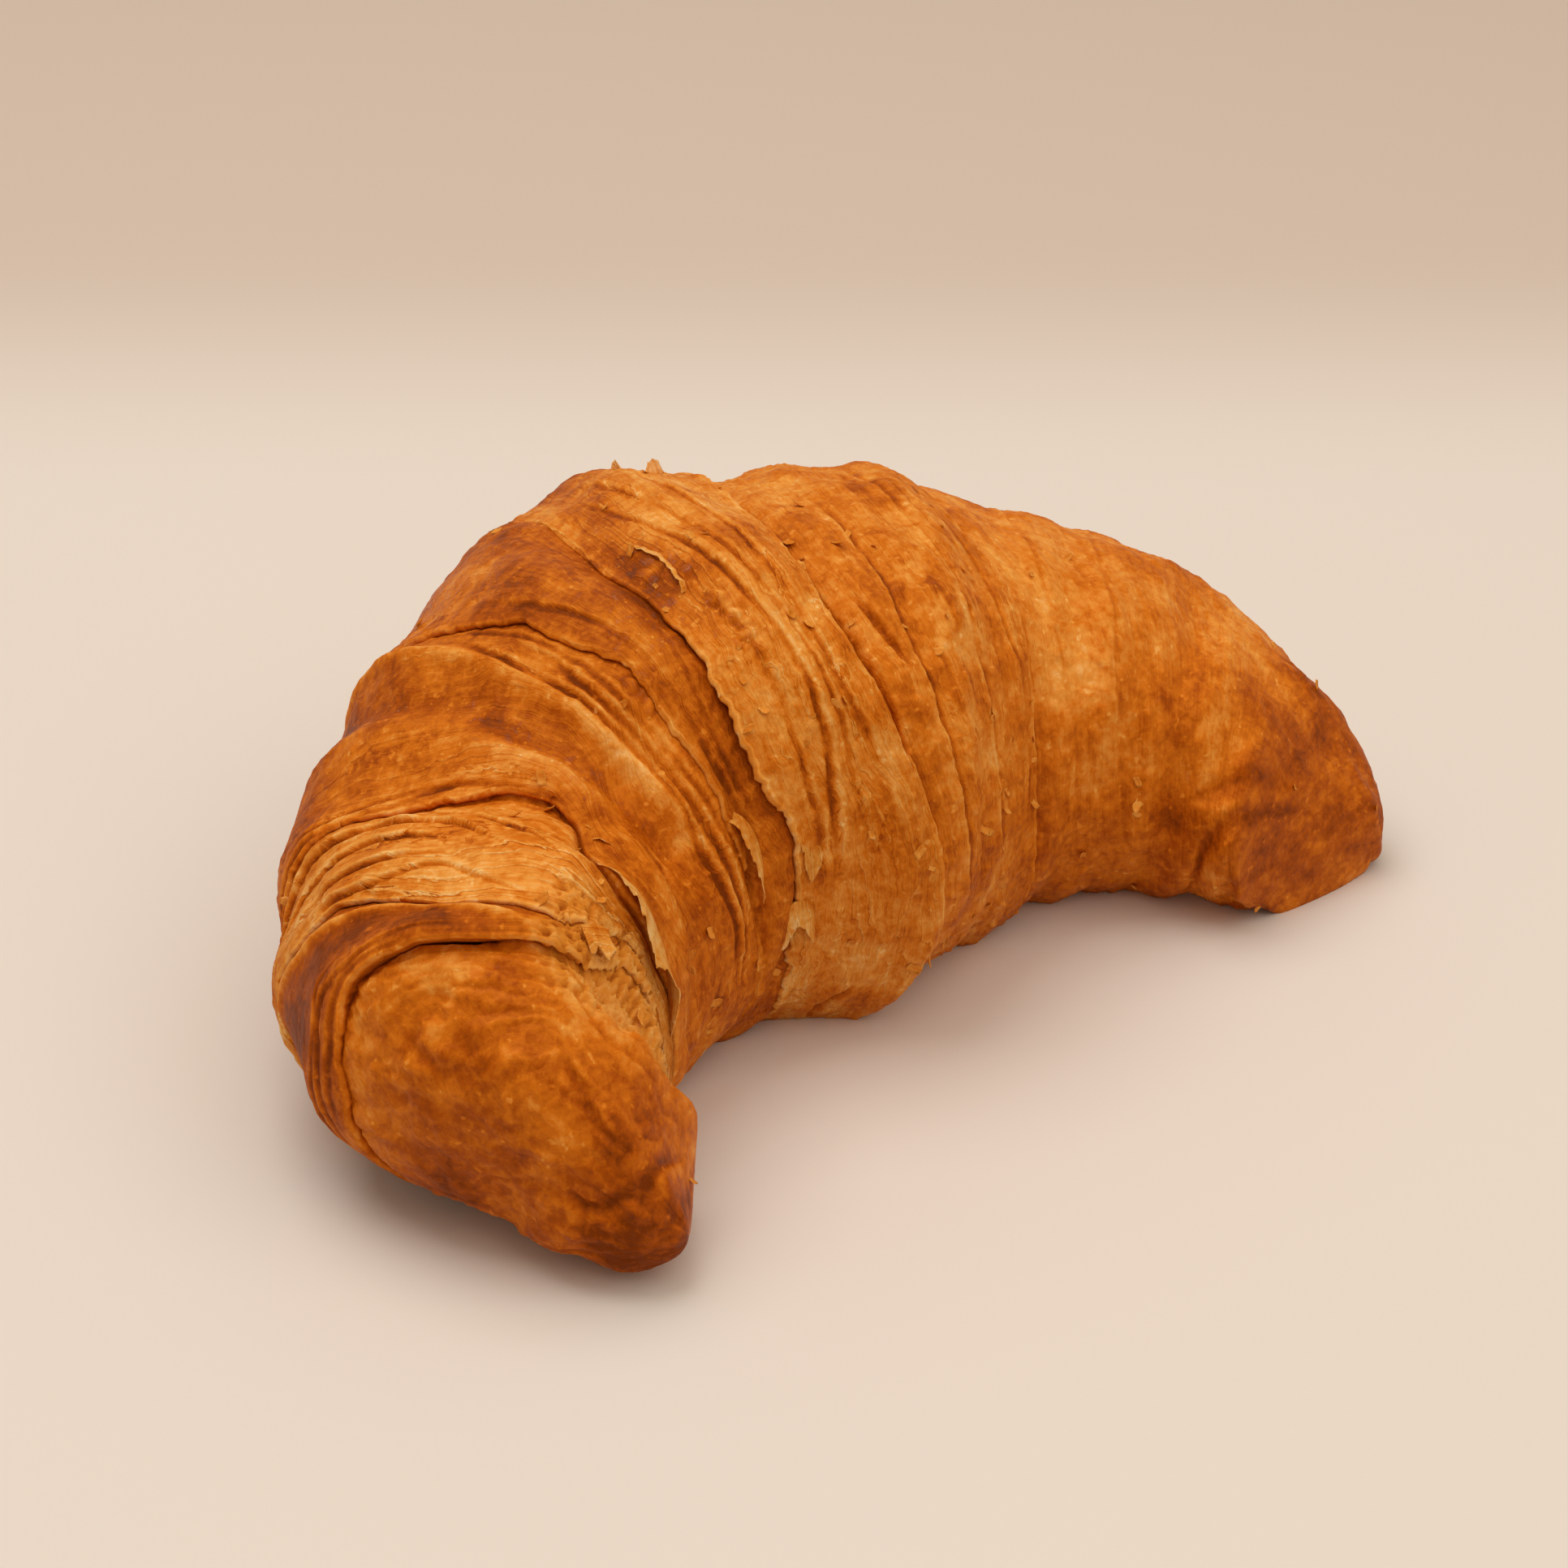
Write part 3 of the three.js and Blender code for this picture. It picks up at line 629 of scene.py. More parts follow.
def wrap_columns(piece):
    """The mesh's columns from left to right: the kind of each, how far in, and how far down."""
    angle = np.arange(0, 181, 15.0)
    left = edge_at[piece["left"]](angle) if piece["ends"][0] != "tip" else angle * 0 - LEFT_ARM + TIP_RUN
    right = edge_at[piece["right"]](angle) if piece["ends"][1] != "tip" else angle * 0 + RIGHT_ARM - TIP_RUN
    widest = ((right - left) * stretch_at((left + right) / 2, angle)).max()
    cell = CELL * COARSER.get(piece["name"], 1)
    count = max(6, int(widest / cell / FINER.get(piece["name"], 1)))
    tip_count = int(TIP_RUN * 1.6 / cell)
    starts = {
        "tip": [("left tip", (i / tip_count) ** LEFT_END[1], 0) for i in range(1, tip_count)],
        "lip": [("left end", into, down) for into, down in UNDER_LIP + LIP],
        "tuck": [("left tuck", into, down) for into, down in TUCK[::-1]],
    }
    stops = {
        "tip": [("right tip", (i / tip_count) ** RIGHT_END[1], 0) for i in range(tip_count - 1, 0, -1)],
        "lip": [("right end", into, down) for into, down in LIP[::-1] + UNDER_LIP[::-1]],
        "tuck": [("right tuck", into, down) for into, down in TUCK],
    }
    skin_columns = [("skin", i / count, 0) for i in range(count + 1)]
    return starts[piece["ends"][0]] + skin_columns + stops[piece["ends"][1]]


def wrap_mesh(piece, seeds):
    """One wrap as a closed shell, with its looks, a UV map in mm across and round, and how flaky it is."""
    from_tip, to_tip = piece["ends"][0] == "tip", piece["ends"][1] == "tip"
    piece = {**piece, "crowned": not (from_tip or to_tip)}
    middle = edge_at[piece["right"]](90.0) - 6 if from_tip else edge_at[piece["left"]](90.0) + 6
    t = share_of_arm(middle)
    radius = float(outer_at(t) + inner_at(t) + height_at(t)) / 4
    rows = int(2 * math.pi * radius * 1.08 / CELL / COARSER.get(piece["name"], 1))
    angle = np.linspace(-90, 270, rows, endpoint=False)
    left_edge = -LEFT_ARM + TIP_RUN + 0 * angle if from_tip else edge_at[piece["left"]](angle)
    right_edge = RIGHT_ARM - TIP_RUN + 0 * angle if to_tip else edge_at[piece["right"]](angle)
    if not from_tip:
        left_edge = left_edge + ragged(piece["left"], angle, left_edge, seeds[0])
    if not to_tip:
        right_edge = right_edge + ragged(piece["right"], angle, right_edge, seeds[1])
    left_limit = -LEFT_ARM + 0 * angle if from_tip else left_edge
    right_limit = RIGHT_ARM + 0 * angle if to_tip else right_edge
    left_stretch, right_stretch = stretch_at(left_edge, angle), stretch_at(right_edge, angle)
    lip_left = LIP_RUN / left_stretch if piece["ends"][0] == "lip" else 0
    lip_right = LIP_RUN / right_stretch if piece["ends"][1] == "lip" else 0
    finders = {
        "left tip": lambda a: -LEFT_ARM + TIP_RUN * a + 0 * angle,
        "right tip": lambda a: RIGHT_ARM - TIP_RUN * a + 0 * angle,
        "left end": lambda a: left_edge + a / left_stretch,
        "right end": lambda a: right_edge - a / right_stretch,
        "left tuck": lambda a: left_edge - a / left_stretch,
        "right tuck": lambda a: right_edge + a / right_stretch,
        "skin": lambda a: (left_edge + lip_left) * (1 - a) + (right_edge - lip_right) * a,
    }
    columns = wrap_columns(piece)
    mm = np.array([finders[kind](into) for kind, into, _ in columns])
    down = np.array([depth + 0 * angle for _, _, depth in columns])
    share = np.clip((mm - left_limit) / (right_limit - left_limit), 0, 1)
    angles = np.broadcast_to(angle, mm.shape)
    height, look = relief(mm, angles, share, piece)
    stretch = stretch_at(mm, angles)
    for side, limit in ((0, left_limit), (1, right_limit)):
        off = np.abs(mm - limit) * stretch
        edge = (piece["left"], piece["right"])[side]
        if piece["ends"][side] == "tuck":
            crack = crack_at[edge](angles)
            height = height - crack * np.exp(-off / 0.9)
            # Painted shade in the crevice under the neighbour's lip, more where the crack is deeper.
            look[..., 0] += (0.10 + 0.20 * crack) * torn_share(edge, angles) * np.exp(-off / 0.8)
            if from_tip:
                look[..., 0] -= 0.16 * np.exp(-off / 3.0)
        if piece["ends"][side] == "lip":
            torn = torn_share(edge, angles)
            look[..., 0] -= 0.22 * torn * np.exp(-off / 0.3)
            look[..., 1] -= 0.3 * torn * np.exp(-off / 0.8)
    points = skin(mm, angles, height + down)
    uv = np.stack([share * piece["across"], arc_at(mm, angles)], -1)
    shown = span_fade(turned(angles), 60, 225)
    patchy = smoothstep(-0.2, 0.5, noise(mm / 7, turned(angles) / 18, 0 * mm, 33))
    bare = (down < 0) | (points[..., 2] < 1.5)
    return points, np.clip(look, 0, 1), uv, piece["flaky"] * patchy * (0.15 + 0.85 * shown) * ~bare


def grid_mesh(name, points, look, uv, poles):
    """A closed mesh from rings of points, with a pole at each end, its looks and its UV map."""
    columns, rows, _ = points.shape
    verts = np.concatenate([points.reshape(-1, 3), poles]) * MM
    ring = np.arange(columns * rows).reshape(columns, rows)
    a, b = ring[:-1], ring[1:]
    quads = np.stack([a, np.roll(a, -1, 1), np.roll(b, -1, 1), b], -1).reshape(-1, 4)
    first, last = columns * rows, columns * rows + 1
    start = np.stack([np.full(rows, first), np.roll(ring[0], -1), ring[0]], -1)
    end = np.stack([np.full(rows, last), ring[-1], np.roll(ring[-1], -1)], -1)
    loops = np.concatenate([quads.ravel(), start.ravel(), end.ravel()])
    sizes = np.concatenate([np.full(len(quads), 4), np.full(2 * rows, 3)])
    look = np.concatenate([look.reshape(-1, 4), look[0, :1], look[-1, :1]])
    uv = np.concatenate([uv.reshape(-1, 2), uv[0, :1], uv[-1, :1]])
    return looks_mesh(name, verts, loops, sizes, look, uv)


def looks_mesh(name, verts, loops, sizes, look, uv):
    """A smooth mesh with the crust's looks on its points and its UV map in cm."""
    mesh = bpy.data.meshes.new(name)
    mesh.vertices.add(len(verts))
    mesh.vertices.foreach_set("co", verts.astype(np.float32).ravel())
    mesh.loops.add(len(loops))
    mesh.loops.foreach_set("vertex_index", loops.astype(np.int32))
    mesh.polygons.add(len(sizes))
    mesh.polygons.foreach_set("loop_start", np.concatenate([[0], np.cumsum(sizes)[:-1]]).astype(np.int32))
    mesh.polygons.foreach_set("use_smooth", np.ones(len(sizes), bool))
    mesh.update(calc_edges=True)
    attribute = mesh.attributes.new("crust_look", "FLOAT_COLOR", "POINT")
    attribute.data.foreach_set("color", look.astype(np.float32).ravel())
    layer = mesh.uv_layers.new(name="crust_uv")
    layer.data.foreach_set("uv", (uv[loops] / 10).astype(np.float32).ravel())
    mesh.validate()
    return mesh


# Thin papery flaps torn loose from the crust: the line where each is rooted and the line of its free edge,
# as runs of (mm along the spine, angle), with how far it stands off the skin along the free edge, in mm
FLAPS = [
    {"name": "curled_sheet", "lift": (1.4, 2.6),
     "root": ((-50.5, 112), (-49.5, 124), (-50.0, 138), (-52.5, 152), (-56.0, 163), (-58.5, 176)),
     "free": ((-53.8, 115), (-58.4, 125), (-61.0, 136), (-63.6, 144), (-62.6, 158), (-60.8, 178))},
    {"name": "hanging_flake", "root": ((-28.6, 150), (-27.6, 155), (-27.0, 161), (-26.8, 168)),
     "free": ((-29.8, 150), (-29.6, 158), (-29.0, 167), (-28.0, 178)), "lift": (0.1, 0.6)},
    {"name": "belly_flake", "root": ((-20.6, 160), (-18.6, 164), (-16.8, 167), (-15.8, 172)),
     "free": ((-21.8, 166), (-21.4, 173), (-19.8, 179), (-17.8, 176)), "lift": (0.2, 0.5)},
    {"name": "low_flake", "root": ((-27.0, 181), (-24.5, 183), (-21.5, 183), (-18.5, 184)),
     "free": ((-26.8, 186), (-24.3, 192), (-22.2, 188), (-18.4, 194)), "lift": (0.2, 0.6)},
    # Painted light: the two standing tufts are coloured paler than the other flaps, for the light on them.
    {"name": "standing_tuft", "root": ((2.4, 59), (2.8, 60), (3.2, 61.5)), "bake_and_shade": 0.2,
     "free": ((1.2, 60.5), (1.4, 61.2), (1.8, 62)), "lift": (1.2, 2.6)},
    {"name": "standing_spike", "root": ((3.4, 62), (3.8, 63), (4.2, 64)), "bake_and_shade": 0.2,
     "free": ((4.4, 63), (4.7, 64), (5.2, 65)), "lift": (1.4, 1.9)},
    {"name": "burst_blister", "root": ((-8.6, 84), (-9.0, 90), (-10.2, 96), (-12.4, 101)),
     "free": ((-10.6, 85), (-11.6, 90), (-13.4, 96), (-14.6, 100)), "lift": (0.5, 0.8)},
    {"name": "leaf_tongue", "root": ((-44.0, 104), (-43.2, 114), (-43.0, 124), (-44.0, 133)),
     "free": ((-47.6, 108), (-47.8, 118), (-46.8, 127), (-46.2, 135)), "lift": (0.7, 1.2)},
    {"name": "crumb_tongue", "root": ((-62.4, 104), (-62.2, 112), (-62.0, 120)),
     "free": ((-64.8, 106), (-65.6, 113), (-64.4, 120)), "lift": (0.9, 1.3)},
]
FLAP_THICKNESS = 0.14  # mm


def along_run(run, count):
    """Evenly spaced (mm, angle) places along a run."""
    run = np.array(run, float)
    share = np.linspace(0, len(run) - 1, count)
    curves = [smooth_table(range(len(run)), run[:, i]) for i in (0, 1)]
    return curves[0](share), curves[1](share)


def flap_mesh(flap, seed):
    """A closed thin slab between a flap's rooted line and its free edge."""
    wide, deep = ((90, 34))
    root, free = along_run(flap["root"], wide), along_run(flap["free"], wide)
    out = np.linspace(0, 1, deep)[:, None]
    side = np.linspace(0, 1, wide)[None, :]
    jag = 0.10 * layered(side * 9, 0 * side, 0 * side, 90 + seed, 3)
    reach = out * (1 + jag * out)
    mm = root[0] * (1 - reach) + free[0] * reach
    angle = root[1] * (1 - reach) + free[1] * reach
    top_lift = flap["lift"][0] * (1 - side) + flap["lift"][1] * side
    wave = noise(side * 4, out * 1.5, 0 * out, 95 + seed)
    sides = np.minimum(1, 5 * np.minimum(side + 0.06, 1 - side + 0.06))
    lift = -0.5 + (top_lift + 0.5) * (out**1.3) * sides + 0.35 * wave * out
    thin = FLAP_THICKNESS * (1.6 - 0.9 * out)
    upper = skin(mm, angle, lift + 0.8)
    lower = skin(mm, angle, lift + 0.8 - thin)
    points = np.concatenate([upper, lower[:, ::-1]], 1)
    bake_and_shade = flap.get("bake_and_shade", 0.42) - 0.20 * out + 0.12 * wave
    look_upper = np.stack([bake_and_shade, 0.4 - 0.2 * out + 0 * bake_and_shade, 0 * bake_and_shade, 0 * bake_and_shade + 0.8], -1)
    look = np.concatenate([look_upper, look_upper[:, ::-1]], 1)
    uv = np.stack([mm, arc_at(mm, angle)], -1)
    uv = np.concatenate([uv, uv[:, ::-1]], 1)
    return points, look, uv


def slab_mesh(name, points, look, uv):
    """A closed mesh from rings of points whose two ends are sewn flat shut."""
    columns, rows, _ = points.shape
    half = rows // 2
    ring = np.arange(columns * rows).reshape(columns, rows)
    a, b = ring[:-1], ring[1:]
    quads = np.stack([a, np.roll(a, -1, 1), np.roll(b, -1, 1), b], -1).reshape(-1, 4)
    i = np.arange(half - 1)
    start = np.stack([ring[0, i], ring[0, rows - 1 - i], ring[0, rows - 2 - i], ring[0, i + 1]], -1)
    end = np.stack([ring[-1, i], ring[-1, i + 1], ring[-1, rows - 2 - i], ring[-1, rows - 1 - i]], -1)
    loops = np.concatenate([quads, start, end]).ravel()
    sizes = np.full(len(loops) // 4, 4)
    verts = points.reshape(-1, 3) * MM
    return looks_mesh(name, verts, loops, sizes, look.reshape(-1, 4), uv.reshape(-1, 2))


def srgb(red, green, blue):
    """A colour seen on a screen, 0 to 255, as the linear values that a shader takes."""
    values = [c / 255 for c in (red, green, blue)]
    return [c / 12.92 if c <= 0.04045 else ((c + 0.055) / 1.055) ** 2.4 for c in values] + [1.0]


class Nodes:
    """Short names for making and joining a material's nodes."""

    def __init__(self, name):
        self.material = bpy.data.materials.new(name)
        self.material.use_nodes = True
        self.tree = self.material.node_tree
        self.surface = self.tree.nodes["Principled BSDF"]

    def add(self, kind, **settings):
        node = self.tree.nodes.new(kind)
        for key, value in settings.items():
            setattr(node, key, value)
        return node

    def join(self, source, target):
        self.tree.links.new(source, target)

    def math(self, operation, first, second=None, third=None):
        node = self.add("ShaderNodeMath", operation=operation)
        for socket, value in zip(node.inputs, (first, second, third)):
            if isinstance(value, (int, float)):
                socket.default_value = value
            elif value is not None:
                self.join(value, socket)
        return node.outputs[0]

    def noise(self, vector, scale, detail=4.0, roughness=0.55, distortion=0.0):
        node = self.add("ShaderNodeTexNoise")
        self.join(vector, node.inputs["Vector"])
        node.inputs["Scale"].default_value = scale
        node.inputs["Detail"].default_value = detail
        node.inputs["Roughness"].default_value = roughness
        node.inputs["Distortion"].default_value = distortion
        return node.outputs["Fac"]

    def stretched(self, vector, scale):
        node = self.add("ShaderNodeMapping")
        self.join(vector, node.inputs["Vector"])
        node.inputs["Scale"].default_value = scale
        return node.outputs[0]

    def ramp(self, value, stops):
        node = self.add("ShaderNodeValToRGB")
        self.join(value, node.inputs["Fac"])
        elements = node.color_ramp.elements
        while len(elements) < len(stops):
            elements.new(0.5)
        for element, (place, colour) in zip(elements, stops):
            element.position = place
            element.color = colour
        return node.outputs["Color"]

    def mapped(self, value, low, high, to_low, to_high):
        node = self.add("ShaderNodeMapRange", interpolation_type="SMOOTHSTEP")
        self.join(value, node.inputs["Value"])
        ends = {"From Min": low, "From Max": high, "To Min": to_low, "To Max": to_high}
        for name, number in ends.items():
            node.inputs[name].default_value = number
        return node.outputs["Result"]

    def mix(self, factor, first, second, blend="MIX"):
        node = self.add("ShaderNodeMix", data_type="RGBA", blend_type=blend)
        for socket, value in ((node.inputs[0], factor), (node.inputs[6], first), (node.inputs[7], second)):
            if isinstance(value, (int, float, list)):
                socket.default_value = value
            else:
                self.join(value, socket)
        return node.outputs[2]


BAKE_COLOURS = (
    (0.0, srgb(242, 194, 124)),
    (0.25, srgb(229, 154, 66)),
    (0.5, srgb(208, 114, 20)),
    (0.75, srgb(168, 78, 4)),
    (1.0, srgb(120, 50, 0)),
)
CRUMB_COLOURS = ((0.0, srgb(240, 184, 104)), (0.5, srgb(216, 134, 42)), (1.0, srgb(160, 74, 8)))


def torn_layers(n, uv, count):
    """Height of thin torn dough layers, this many to a cm, with their pale lines and their dark lines of
    painted shadow.
    """
    slow = n.noise(n.stretched(uv, (2.5, 0.4, 1)), 1.0, 2, 0.5)
    quick = n.noise(n.stretched(uv, (5, 3.5, 1)), 1.0, 4, 0.6)
    split = n.add("ShaderNodeSeparateXYZ")
    n.join(uv, split.inputs[0])
    place = n.math("MULTIPLY_ADD", split.outputs["X"], count, n.math("MULTIPLY", slow, 6.0))
    place = n.math("MULTIPLY_ADD", quick, 1.6, place)
    down = n.math("FRACT", place)
    where = n.add("ShaderNodeCombineXYZ")
    n.join(n.math("MULTIPLY", n.math("FLOOR", place), 5.3), where.inputs[0])
    n.join(split.outputs["Y"], where.inputs[1])
    shown = n.mapped(n.noise(where.outputs[0], 0.9, 2, 0.5), 0.42, 0.60, 0, 1)
    # Dark lines of painted shadow at the foot of each layer's step, pale lines on its rim.
    pale, dark = n.mapped(down, 0.0, 0.22, -1.1, 0), n.mapped(down, 0.80, 0.97, 0, 0.9)
    lift = n.math("MULTIPLY", n.math("SUBTRACT", 1.0, down), n.mapped(down, 0, 0.06, 0, 1))
    lift = n.math("MULTIPLY", lift, shown)
    return lift, n.math("MULTIPLY", n.math("ADD", pale, dark), shown)


def crust_material():
    """Baked crust: browning with painted shade, egg-wash gloss and open crumb from the mesh, with fine
    streaks and grain.
    """
    n = Nodes("crust")
    look = n.add("ShaderNodeAttribute", attribute_name="crust_look")
    split = n.add("ShaderNodeSeparateColor")
    n.join(look.outputs["Color"], split.inputs[0])
    bake_and_shade, glaze, crumb = split.outputs["Red"], split.outputs["Green"], split.outputs["Blue"]
    uv = n.add("ShaderNodeUVMap", uv_map="crust_uv").outputs[0]
    place = n.add("ShaderNodeTexCoord").outputs["Object"]
    streaks = n.noise(n.stretched(uv, (24, 1.3, 1)), 1.0, 5, 0.62, 0.3)
    hairs = n.noise(n.stretched(uv, (75, 5, 1)), 1.0, 3, 0.6, 0.5)
    patches = n.noise(place, 230, 4, 0.6, 0.4)
    grain = n.noise(place, 1400, 3, 0.6)
    fine_patches = n.noise(place, 800, 3, 0.6, 0.6)
    specks = n.mapped(n.noise(place, 900, 1, 0.4), 0.68, 0.78, 0, 1)
    along = look.outputs["Alpha"]
    lift, lines = torn_layers(n, uv, 6.0)
    fine_lift, fine_lines = torn_layers(n, uv, 14.0)
    torn = n.mapped(along, 0.35, 1.0, 0.0, 1.0)
    pores = n.add("ShaderNodeTexVoronoi")
    n.join(place, pores.inputs["Vector"])
    pores.inputs["Scale"].default_value = 800
    pores = n.mapped(pores.outputs["Distance"], 0.10, 0.22, 1, 0)
    pores = n.math("MULTIPLY", pores, n.mapped(glaze, 0.5, 0.9, 0, 1))
    shade = bake_and_shade
    for pattern, strength in (
        (streaks, n.math("MULTIPLY", along, -0.5)),
        (hairs, n.math("MULTIPLY", along, -0.25)),
        (patches, 0.60),
        (fine_patches, 0.55),
        (grain, 0.20),
    ):
        shade = n.math("MULTIPLY_ADD", n.math("SUBTRACT", pattern, 0.5), strength, shade)
    shade = n.math("MULTIPLY_ADD", n.math("MAXIMUM", specks, pores), -0.20, shade)
    # The torn layers' pale rims and their dark lines of painted shadow.
    for pattern, strength in ((lines, 0.32), (fine_lines, 0.22)):
        shade = n.math("MULTIPLY_ADD", n.math("MULTIPLY", pattern, torn), strength, shade)
    colour = n.mix(crumb, n.ramp(shade, BAKE_COLOURS), n.ramp(shade, CRUMB_COLOURS))
    n.join(colour, n.surface.inputs["Base Color"])
    rough = n.mapped(n.math("MULTIPLY_ADD", patches, 0.5, glaze), 0.25, 1.25, 0.62, 0.36)
    n.join(rough, n.surface.inputs["Roughness"])
    n.surface.inputs["Subsurface Weight"].default_value = 0.10
    n.surface.inputs["Subsurface Radius"].default_value = (1.0, 0.45, 0.15)
    n.surface.inputs["Subsurface Scale"].default_value = 0.0018
    n.surface.inputs["IOR"].default_value = 1.22
    n.surface.inputs["Specular Tint"].default_value = (1.0, 0.72, 0.46, 1)
    glints = n.math("MULTIPLY_ADD", fine_patches, 2.0, n.math("MULTIPLY", glaze, 0.6))
    n.join(n.mapped(glints, 1.60, 2.05, 0, 0.8), n.surface.inputs["Coat Weight"])
    n.surface.inputs["Coat Roughness"].default_value = 0.14
    n.surface.inputs["Coat IOR"].default_value = 1.42
    fine = n.add("ShaderNodeBump")
    fine.inputs["Strength"].default_value = 0.75
    fine.inputs["Distance"].default_value = 0.0004
    height = n.math("MULTIPLY", n.math("MULTIPLY_ADD", hairs, 0.35, streaks), along)
    height = n.math("MULTIPLY_ADD", patches, 0.6, n.math("MULTIPLY_ADD", grain, 0.3, height))
    height = n.math("MULTIPLY_ADD", fine_patches, 0.5, n.math("MULTIPLY_ADD", pores, 0.3, height))
    height = n.math("MULTIPLY_ADD", n.math("MULTIPLY", lift, torn), 0.6, height)
    height = n.math("MULTIPLY_ADD", n.math("MULTIPLY", fine_lift, torn), 0.3, height)
    n.join(height, fine.inputs["Height"])
    n.join(fine.outputs[0], n.surface.inputs["Normal"])
    n.join(fine.outputs[0], n.surface.inputs["Coat Normal"])
    return n.material


def add_piece(name, mesh, material):
    piece = bpy.data.objects.new(name, mesh)
    bpy.context.scene.collection.objects.link(piece)
    mesh.materials.append(material)
    return piece


def add_crust_piece(name, mesh):
    piece = add_piece(name, mesh, crust)
    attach(piece, "root")
    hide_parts("croissant")
    return piece


def flake_mesh():
    """A curled flake of crust, 1 mm long, as a closed thin slab."""
    along, side = np.meshgrid(np.linspace(-0.5, 0.5, 6), np.linspace(-1, 1, 5), indexing="ij")
    wide = 0.36 * (1 - 0.8 * (along + 0.1) ** 2) + 0.05 * np.sin(9 * along)
    rise = 0.40 * (along + 0.5) ** 2 + 0.10 * side**2
    upper = np.stack([along + 0.08 * side, side * wide, rise + 0.03], -1)
    points = np.concatenate([upper, upper[:, ::-1] - (0, 0, 0.06)], 1)
    look = np.zeros(points.shape[:2] + (4,)) + (0.36, 0.4, 0, 0.2)
    return slab_mesh("flake", points, look, points[..., :2])


def scatter_tree(flake):
    """Geometry nodes: flakes spread over a crust at random, where its flaky attribute lets them."""
    tree = bpy.data.node_groups.new("scatter_flakes", "GeometryNodeTree")
    sockets = {}
    for name, kind in (
        ("Geometry", "NodeSocketGeometry"),
        ("Flakes per Square Metre", "NodeSocketFloat"),
        ("Seed", "NodeSocketInt"),
        ("Smallest", "NodeSocketFloat"),
        ("Largest", "NodeSocketFloat"),
    ):
        sockets[name] = tree.interface.new_socket(name, in_out="INPUT", socket_type=kind)
    tree.interface.new_socket("Geometry", in_out="OUTPUT", socket_type="NodeSocketGeometry")
    start, stop = tree.nodes.new("NodeGroupInput"), tree.nodes.new("NodeGroupOutput")
    spread = tree.nodes.new("GeometryNodeDistributePointsOnFaces")
    flaky = tree.nodes.new("GeometryNodeInputNamedAttribute")
    flaky.inputs["Name"].default_value = "flaky"
    density = tree.nodes.new("ShaderNodeMath")
    density.operation = "MULTIPLY"
    place = tree.nodes.new("GeometryNodeInstanceOnPoints")
    shape = tree.nodes.new("GeometryNodeObjectInfo")
    shape.inputs["Object"].default_value = flake
    spin = tree.nodes.new("FunctionNodeRandomValue")
    spin.data_type = "FLOAT_VECTOR"
    spin.inputs["Min"].default_value = (-0.25, -0.35, -3.1)
    spin.inputs["Max"].default_value = (0.25, 0.15, 3.1)
    turn = tree.nodes.new("FunctionNodeRotateRotation")
    turn.rotation_space = "LOCAL"
    size = tree.nodes.new("FunctionNodeRandomValue")
    realize = tree.nodes.new("GeometryNodeRealizeInstances")
    paint = tree.nodes.new("GeometryNodeSetMaterial")
    paint.inputs["Material"].default_value = crust
    shown_inputs = [socket for socket in size.inputs if socket.enabled]
    size_min, size_max = [socket for socket in shown_inputs if socket.name in ("Min", "Max")]
    amount = [socket for socket in size.outputs if socket.enabled][0]
    turned_by = [socket for socket in spin.outputs if socket.enabled][0]
    for source, target in (
        (start.outputs["Geometry"], spread.inputs["Mesh"]),
        (start.outputs["Flakes per Square Metre"], density.inputs[0]),
        (flaky.outputs["Attribute"], density.inputs[1]),
        (density.outputs[0], spread.inputs["Density"]),
        (start.outputs["Seed"], spread.inputs["Seed"]),
        (start.outputs["Smallest"], size_min),
        (start.outputs["Largest"], size_max),
        (spread.outputs["Points"], place.inputs["Points"]),
        (shape.outputs["Geometry"], place.inputs["Instance"]),
        (spread.outputs["Rotation"], turn.inputs["Rotation"]),
        (turned_by, turn.inputs["Rotate By"]),
        (turn.outputs[0], place.inputs["Rotation"]),
        (amount, place.inputs["Scale"]),
        (place.outputs["Instances"], realize.inputs[0]),
        (realize.outputs[0], paint.inputs["Geometry"]),
        (paint.outputs[0], stop.inputs["Geometry"]),
    ):
        tree.links.new(source, target)
    return tree, sockets


def flake_bed(wraps):
    """All the wraps as one mesh for the flakes to lie on, with how flaky each point is."""
    joined = bmesh.new()
    for mesh, _ in wraps:
        joined.from_mesh(mesh)
    bed = bpy.data.meshes.new("flake_bed")
    joined.to_mesh(bed)
    joined.free()
    weights = bed.attributes.new("flaky", "FLOAT", "POINT")
    weights.data.foreach_set("value", np.concatenate([flaky for _, flaky in wraps]).astype(np.float32))
    return bed


def add_flakes(wraps):
    """Flakes scattered over the wraps, made into a plain mesh of their own."""
    bed = bpy.data.objects.new("flake_bed", flake_bed(wraps))
    bpy.context.scene.collection.objects.link(bed)
    scatter = bed.modifiers.new("flakes", "NODES")
    scatter.node_group = flake_tree
    settings = {"Flakes per Square Metre": FLAKE_DENSITY, "Seed": FLAKE_SEED}
    settings["Smallest"], settings["Largest"] = FLAKE_SIZES
    for socket, value in settings.items():
        scatter[flake_sockets[socket].identifier] = value
    bed.update_tag()
    shown = bed.evaluated_get(bpy.context.evaluated_depsgraph_get())
    flakes = bpy.data.meshes.new_from_object(shown)
    bed.modifiers.remove(scatter)
    bpy.data.objects.remove(bed)
    flakes.materials.clear()
    add_crust_piece("flakes", flakes)


